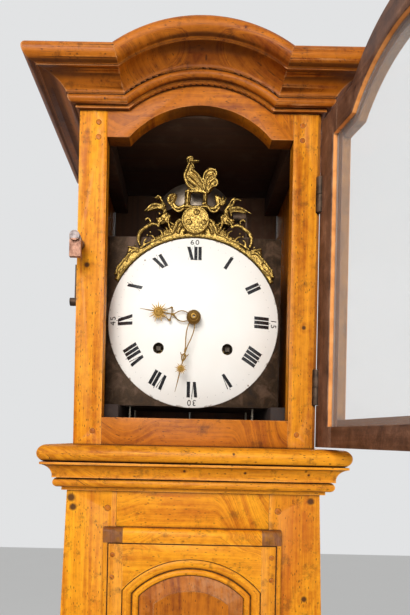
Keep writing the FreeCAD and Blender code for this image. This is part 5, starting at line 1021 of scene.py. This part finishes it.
def crest():
    """The cast brass crest: cockerel on a pedestal, two birds, flowers, scrolls, leaves."""
    pieces = [rounded_sheet()]
    spray = [(places, radii) for group in (COCKEREL, PEDESTAL, LEFT_SPRAY, RIGHT_SPRAY, SCROLL)
             for places, radii in group]
    spray += [(tuple((-x, z) for x, z in places), radii) for places, radii in SCROLL]
    for places, radii in spray:
        pieces.append(wire([on_crest(x, z, CREST_FRONT - 0.00035 * radius)
                            for (x, z), radius in zip(places, radii)],
                           [radius / 1000 for radius in radii], 1, 4))
    for side in (1, -1):
        for x, z, radius in SCROLL_GRAINS:
            at = on_crest(side * x, z, CREST_FRONT - 0.0002 * radius)
            pieces.append(ball(at, radius / 1000))
    for x, z in FLOWERS:
        for petal in range(6):
            angle = petal * math.pi / 3
            at = on_crest(x, z, MEDALLION_FRONT - 0.0002) + Vector(
                (0.0026 * math.cos(angle), 0, 0.0026 * math.sin(angle)))
            pieces.append(ball(at, 0.0017))
        pieces.append(ball(on_crest(x, z, MEDALLION_FRONT - 0.0012), 0.0015))
    middle = on_crest(0, MEDALLION_RISE)
    angles = [step * math.pi / 12 for step in range(25)]
    ring = [middle + Vector((MEDALLION_RING * math.cos(angle), -0.0048,
                             MEDALLION_RING * math.sin(angle))) for angle in angles]
    pieces.append(wire(ring, [0.0014] * len(ring), 1, 2))
    for drop in (0.0105, 0.0135, 0.0162):
        half = math.sqrt(MEDALLION_INSIDE ** 2 - drop ** 2)
        pieces.append(wire([middle + Vector((side * half, -0.0049, -drop)) for side in (-1, 1)],
                           [0.0008, 0.0008], 1, 4))
    piece = joined(pieces)
    applied(piece, "REMESH", mode="VOXEL", voxel_size=0.00066)
    applied(piece, "SMOOTH", factor=0.5, iterations=2)
    gilding = old_brass("crest_gilding", (0.44, 0.285, 0.075, 1), (0.026, 0.014, 0.005, 1),
                        chased=0.45, reach=0.0036, grain=0.0002, rough=0.26)
    return settle(piece, "crest_casting", gilding, "case", "gilt_brass", "crest", smooth=180)


def arch_ring(inset, y=0.0):
    """The door opening's outline set in by a distance: upright sides and one arc over them."""
    rise = SIGHT_CROWN - SIGHT_SPRING
    radius = (SIGHT_HALF ** 2 + rise ** 2) / (2 * rise)
    centre, radius, half = SIGHT_CROWN - radius, radius - inset, SIGHT_HALF - inset
    opening = math.asin(half / radius)
    points = [(-half, y, SIGHT_LOW + inset), (half, y, SIGHT_LOW + inset)]
    for step in range(ARCH_STEPS + 1):
        angle = opening - 2 * opening * step / ARCH_STEPS
        points.append((radius * math.sin(angle), y, centre + radius * math.cos(angle)))
    return points


def lofted(rings):
    """A skin through rings of places, each extruded from the last and put in its place."""
    piece = outlined([(x, z) for x, y, z in rings[0]], rings[0][0][1])
    opened(piece)
    for before, after in zip(rings, rings[1:]):
        bpy.ops.mesh.extrude_region()
        bpy.ops.object.mode_set(mode="OBJECT")
        for vertex in piece.data.vertices:
            if vertex.select:
                index = min(range(len(before)),
                            key=lambda item: (Vector(before[item]) - vertex.co).length)
                vertex.co = after[index]
        bpy.ops.object.mode_set(mode="EDIT")
    bpy.ops.object.mode_set(mode="OBJECT")
    return piece


DOOR_HALF, DOOR_LOW, DOOR_HIGH = 0.120, 0.700, 1.629
DOOR_FACE, DOOR_LIP_BACK, DOOR_TONGUE = -0.143, -0.1303, -0.118
SIGHT_HALF, SIGHT_LOW, SIGHT_SPRING, SIGHT_CROWN = 0.093, 0.760, 1.547, 1.590
LIP_WIDTH, LIP_ROUND = 0.0175, 0.0052
QUIRK_TOP, QUIRK_SIDE, QUIRK_WIDTH, QUIRK_DEEP = 0.0196, 0.0075, 0.0006, 0.0020
PANEL_FACE, ARCH_STEPS = -0.1370, 28
# The heights between which the door stiles' upper ends are burnt dark.
BURNT_ENDS = (1.6096, 1.70)
# Rings of the run moulding and of the raised panel: how far in from the opening's outline,
# and how high over the panel's face.
MOULDING = ((0.0007, 0.0001), (0.0008, 0.0046), (0.0020, 0.0055), (0.0044, 0.0060),
            (0.0076, 0.0056), (0.0102, 0.0042), (0.0122, 0.0022), (0.0130, 0.0006),
            (0.0138, 0.0006), (0.0144, 0.0028), (0.0162, 0.0041), (0.0184, 0.0044),
            (0.0204, 0.0038), (0.0220, 0.0021), (0.0226, 0.0001))
RAISED_PANEL = ((-0.0058, -0.0090), (-0.0058, 0.0), (0.0227, 0.0), (0.0233, 0.0006),
                (0.0425, 0.0046), (0.0429, 0.0054))


def edged(piece, test, offset, segments):
    """Round the edges whose two ends pass a test."""
    only(piece)
    mesh = piece.data
    unselected(mesh)
    for edge in mesh.edges:
        edge.select = all(test(mesh.vertices[index].co) for index in edge.vertices)
    bpy.ops.object.mode_set(mode="EDIT")
    bpy.ops.mesh.select_mode(type="EDGE")
    bpy.ops.mesh.bevel(offset=offset, segments=segments, affect="EDGES")
    bpy.ops.mesh.select_mode(type="VERT")
    bpy.ops.object.mode_set(mode="OBJECT")


def door_frame():
    """The trunk door's frame: a rounded lip, a quirk round it and an arched opening."""
    piece = outlined([(-DOOR_HALF, DOOR_LOW), (DOOR_HALF, DOOR_LOW), (DOOR_HALF, DOOR_HIGH),
                      (-DOOR_HALF, DOOR_HIGH)], DOOR_FACE)
    opened(piece)
    pushed(DOOR_LIP_BACK - DOOR_FACE)
    closed(piece)
    picked(piece, lambda centre, normal: normal.y > 0.9)
    bpy.ops.mesh.inset(thickness=LIP_WIDTH)
    pushed(DOOR_TONGUE - DOOR_LIP_BACK)
    picked(piece, lambda centre, normal: normal.y < -0.9)
    bpy.ops.mesh.inset(thickness=QUIRK_SIDE - 1.5 * QUIRK_WIDTH, depth=0)
    for depth in (-QUIRK_DEEP, 0, QUIRK_DEEP):
        bpy.ops.mesh.inset(thickness=QUIRK_WIDTH, depth=depth)
    bpy.ops.object.mode_set(mode="OBJECT")
    # The quirk's upper length lies lower than an even inset puts it.
    for vertex in piece.data.vertices:
        if vertex.co.y < DOOR_FACE + 0.004 and 0.006 < DOOR_HIGH - vertex.co.z < 0.0098:
            vertex.co.z -= QUIRK_TOP - QUIRK_SIDE
    edged(piece, lambda at: at.y < DOOR_FACE + 0.0001 and (
        abs(at.x) > DOOR_HALF - 0.0001 or at.z > DOOR_HIGH - 0.0001
        or at.z < DOOR_LOW + 0.0001), LIP_ROUND, 5)
    hole = outlined([(x, z) for x, y, z in arch_ring(0)], DOOR_FACE - 0.01)
    opened(hole)
    pushed(0.05)
    closed(hole)
    return carved(piece, hole)


def kept_between(piece, name, planes):
    """A copy of a piece cut back to one side of each plane, given as (place, direction)."""
    part = twin(name, piece.data)
    for place, direction in planes:
        opened(part)
        bpy.ops.mesh.bisect(plane_co=place, plane_no=direction, use_fill=True, clear_outer=True)
        bpy.ops.object.mode_set(mode="OBJECT")
    return closed(part)


def trunk_door():
    """Stiles and rails of the trunk door, its run moulding and its raised panel."""
    frame_blank = door_frame()
    seam = SIGHT_HALF + 0.0002
    left, right, middle = (-seam, 0, 0), (seam, 0, 0), (0, 0, (SIGHT_LOW + SIGHT_SPRING) / 2)
    between = [(left, (-1, 0, 0)), (right, (1, 0, 0))]
    for node, planes, along, seed, charred in (
            ("door_left_stile", [(left, (1, 0, 0))], "z", 4.3, BURNT_ENDS),
            ("door_right_stile", [(right, (-1, 0, 0))], "z", 5.3, BURNT_ENDS),
            ("door_top_rail", between + [(middle, (0, 0, -1))], "x", 24.7, None),
            ("door_bottom_rail", between + [(middle, (0, 0, 1))], "x", 25.7, None)):
        tone = HONEY if along == "z" else GOLDEN
        wood = fruitwood(node + "_grain", along, seed, tone, charred=charred)
        part = kept_between(frame_blank, node, planes)
        applied(part, "BEVEL", width=0.0004, segments=2, limit_method="ANGLE",
                angle_limit=math.radians(50), use_clamp_overlap=True)
        settle(part, node + "_worked", wood, "trunk_door", "fruitwood", node, smooth=40)
    bpy.data.objects.remove(frame_blank)
    mould = lofted([arch_ring(inset, PANEL_FACE - height) for inset, height in MOULDING])
    opened(mould)
    picked(mould, lambda centre, normal: abs(centre.x) < 0.001 and 1.0 < centre.z < 1.4)
    bpy.ops.mesh.delete(type="ONLY_FACE")
    picked(mould, lambda centre, normal: False)
    bpy.ops.mesh.select_mode(type="EDGE")
    bpy.ops.mesh.select_non_manifold()
    bpy.ops.mesh.bridge_edge_loops()
    bpy.ops.mesh.select_mode(type="VERT")
    closed(mould)
    settle(mould, "door_arch_moulding", fruitwood("moulding_grain", "x", 33.1, GOLDEN),
           "trunk_door", "fruitwood", smooth=40)
    panel = lofted([arch_ring(inset, PANEL_FACE - height) for inset, height in RAISED_PANEL])
    closed(panel)
    wood = fruitwood("door_panel_grain", "z", 11.3, RUSSET, sheen_and_dust=0.75)
    settle(panel, "door_panel_raised", wood, "trunk_door", "fruitwood", "door_panel", smooth=12)


ROPE_RADIUS, ROPE_TWIST, ROPE_CORNERS = 0.00168, 420, 9
STRAND_STEPS, BEND_STEPS = 300, 40


def cord_section():
    """The outline of a cord laid up from three yarns."""
    bpy.ops.curve.primitive_bezier_circle_add(radius=ROPE_RADIUS)
    section = bpy.context.object
    section.data.splines[0].type = "POLY"
    spline = section.data.splines[0]
    spline.points.add(ROPE_CORNERS - len(spline.points))
    for index, point in enumerate(spline.points):
        angle = 2 * math.pi * index / ROPE_CORNERS
        reach = ROPE_RADIUS * (1 + 0.12 * math.cos(3 * angle))
        point.co = (reach * math.cos(angle), reach * math.sin(angle), 0, 1)
    return section


def twisted_cord(line):
    """A cord along a line of places, its section turning as it goes."""
    section = cord_section()
    bpy.ops.curve.primitive_nurbs_path_add()
    piece = bpy.context.object
    piece.location = (0, 0, 0)
    data = piece.data
    data.splines.clear()
    run = data.splines.new("POLY")
    run.points.add(len(line) - 1)
    length = 0.0
    for index, (point, place) in enumerate(zip(run.points, line)):
        if index:
            length += (Vector(place) - Vector(line[index - 1])).length
        point.co = (*place, 1)
        point.tilt = length * ROPE_TWIST
    data.twist_mode = "MINIMUM"
    data.bevel_mode = "OBJECT"
    data.bevel_object = section
    data.use_fill_caps = True
    only(piece)
    bpy.ops.object.convert(target="MESH")
    piece = bpy.context.object
    bpy.data.objects.remove(section)
    return closed(piece)


def ropes():
    """The ropes of the two weights: each two strands and the bend round its pulley."""
    hemp_cord = hemp("twisted_hemp")
    top, low, far_top, near, far = 1.879, 0.414, 1.797, -0.050, 0.030
    middle, radius = (near + far) / 2, (far - near) / 2
    shares = [step / STRAND_STEPS for step in range(STRAND_STEPS + 1)]
    angles = [math.pi * step / BEND_STEPS for step in range(1, BEND_STEPS)]
    for name, node, load, x in (
            ("going_rope_strands", "going_rope", "going_load", 0.08905),
            ("strike_rope_strands", "strike_rope", "strike_load", -0.09705)):
        line = [(x, near, top - (top - low) * share) for share in shares]
        line += [(x, middle - radius * math.cos(angle), low - radius * math.sin(angle))
                 for angle in angles]
        line += [(x, far, low + (far_top - low) * share) for share in shares]
        piece = twisted_cord(line)
        settle(piece, name, hemp_cord, None, "hemp", node, smooth=50)
        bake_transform(piece)


# Knots of the wood: x, z and size.
STILE_KNOTS = ((0.160, 1.669, 0.006), (0.1535, 1.536, 0.005), (-0.166, 1.668, 0.007),
               (-0.163, 1.655, 0.006), (-0.196, 0.93, 0.007), (0.190, 0.66, 0.006))
WAIST_KNOTS = ((0.051, 1.732, 0.0022), (-0.0125, 1.708, 0.0024), (0.068, 1.707, 0.0020),
               (0.152, 1.706, 0.0022), (-0.125, 1.695, 0.0022), (0.020, 1.695, 0.0018))
CORNICE_KNOTS = ((-0.129, 2.203, 0.0016), (0.052, 2.262, 0.0016))
HOOD_KNOTS = ((-0.151, 1.985, 0.0045), (0.146, 1.905, 0.0036))


def woodwork():
    """Every wooden part: grain along its length, each board with its own figure."""
    for node, along, seed, tone, knots, ease in (
            ("case_left_stile", "z", 1.3, GOLDEN, STILE_KNOTS, 0.0009),
            ("case_right_stile", "z", 2.3, GOLDEN, STILE_KNOTS, 0.0009),
            ("case_left_side", "z", 3.3, RUSSET, (), 0.0009),
            ("case_right_side", "z", 6.3, RUSSET, (), 0.0009),
            ("hood_left_stile", "z", 7.3, GOLDEN, HOOD_KNOTS, 0.0011),
            ("hood_right_stile", "z", 8.3, HONEY, HOOD_KNOTS, 0.0011),
            ("hood_left_side", "z", 9.3, RUSSET, (), 0.0009),
            ("hood_right_side", "z", 10.3, RUSSET, (), 0.0009),
            ("lower_panel", "z", 12.3, RUSSET, (), 0.0009),
            ("case_top_rail", "x", 21.7, GOLDEN, (), 0.0007),
            ("case_middle_rail", "x", 22.7, HONEY, (), 0.0007),
            ("case_bottom_rail", "x", 23.7, HONEY, (), 0.0007),
            ("hood_top_rail", "x", 26.7, RUSSET, (), 0.0007),
            ("hood_bottom_rail", "x", 27.7, RUSSET, (), 0.0007),
            ("cornice", "x", 28.7, CHESTNUT, CORNICE_KNOTS, 0),
            ("waist_moulding", "x", 29.7, HONEY, WAIST_KNOTS, 0.0007),
            ("plinth", "x", 30.7, HONEY, (), 0.0007)):
        eased(node, fruitwood(node + "_grain", along, seed, tone, knots), ease=ease)
    pegs = fruitwood("peg_end_grain", "y", 51.0, RUSSET)
    for node in ("case_pegs", "door_pegs", "hood_pegs"):
        eased(node, pegs, ease=0.0006)
    for node, along, seed in (("back_board", "z", 61.0), ("bottom_board", "x", 62.0),
                              ("hood_roof", "x", 64.0)):
        eased(node, bare_wood(node + "_boards", along, seed))
    eased("movement_bearers", bare_wood("bearer_wood", "y", 63.0, (0.030, 0.012, 0.005, 1),
                                        (0.006, 0.003, 0.002, 1)))
    for node, seed, along in (("hood_door_hinge_stile", 71.0, "z"),
                              ("hood_door_free_stile", 72.0, "z"),
                              ("hood_door_top_rail", 73.0, "x"),
                              ("hood_door_bottom_rail", 74.0, "x")):
        eased(node, door_paint(node + "_paint", seed, along), ease=0.0007)


def metalwork():
    """Ironwork, brass and the movement."""
    for seed, node in enumerate(("case_hinges", "door_hinges", "hood_ironwork",
                                 "hood_door_hinges", "movement_cage", "going_weight",
                                 "strike_weight", "bell_hammer")):
        eased(node, rusted_iron(node + "_iron", seed + 81.0), ease=0.0004)
    eased("front_plate", rusted_iron("plate_iron", 90.0, (0.050, 0.027, 0.012, 1)), ease=0.0003)
    eased("hood_catch", copper_catch("catch_copper"), ease=0.0008)
    for node in ("anchor", "centre_arbor"):
        repainted(node, worn_steel(node + "_steel"))
    repainted("pendulum", worn_steel("pendulum_rod_and_bob", bob=True))
    brass = old_brass("train_brass", (0.62, 0.43, 0.17, 1), reach=0.012)
    for node in ("escape_wheel", "going_pulley", "strike_pulley", "door_turn_button"):
        repainted(node, brass)
    drums = worn_drum("drum_brass_and_arbor")
    for node in ("going_drum", "strike_drum"):
        repainted(node, drums)
    repainted("bell", old_brass("bell_metal", (0.30, 0.24, 0.18, 1), (0.06, 0.045, 0.03, 1),
                                rough=0.36))
    repainted("hood_door_glass", pane("old_glass"))


def studio():
    """A pale floor, and a pale world that lights evenly."""
    bpy.ops.mesh.primitive_grid_add(x_subdivisions=4, y_subdivisions=4, size=14,
                                    location=(0, 0, -0.0005))
    floor = bpy.context.object
    floor.name = "floor"
    floor.data.materials.append(studio_paint("studio_floor", (0.80, 0.80, 0.79, 1)))
    world = bpy.data.worlds.new("world")
    bpy.context.scene.world = world
    world.use_nodes = True
    tree = world.node_tree
    back = tree.nodes["Background"]
    back.inputs["Color"].default_value = (0.95, 0.96, 0.97, 1)
    rays = tree.nodes.new("ShaderNodeLightPath")
    shown = rays.outputs["Is Camera Ray"]
    for ray in ("Is Transmission Ray", "Is Glossy Ray"):
        either = tree.nodes.new("ShaderNodeMath")
        either.operation = "MAXIMUM"
        tree.links.new(shown, either.inputs[0])
        tree.links.new(rays.outputs[ray], either.inputs[1])
        shown = either.outputs[0]
    strength = tree.nodes.new("ShaderNodeMapRange")
    tree.links.new(shown, strength.inputs["Value"])
    strength.inputs["To Min"].default_value = 0.12
    strength.inputs["To Max"].default_value = 0.80
    tree.links.new(strength.outputs[0], back.inputs["Strength"])
    bpy.context.scene.view_settings.view_transform = "Standard"


view_from_the_photograph()
studio()
woodwork()
trunk_door()
metalwork()
dial_face()
dial_paint()
hands()
crest()
ropes()
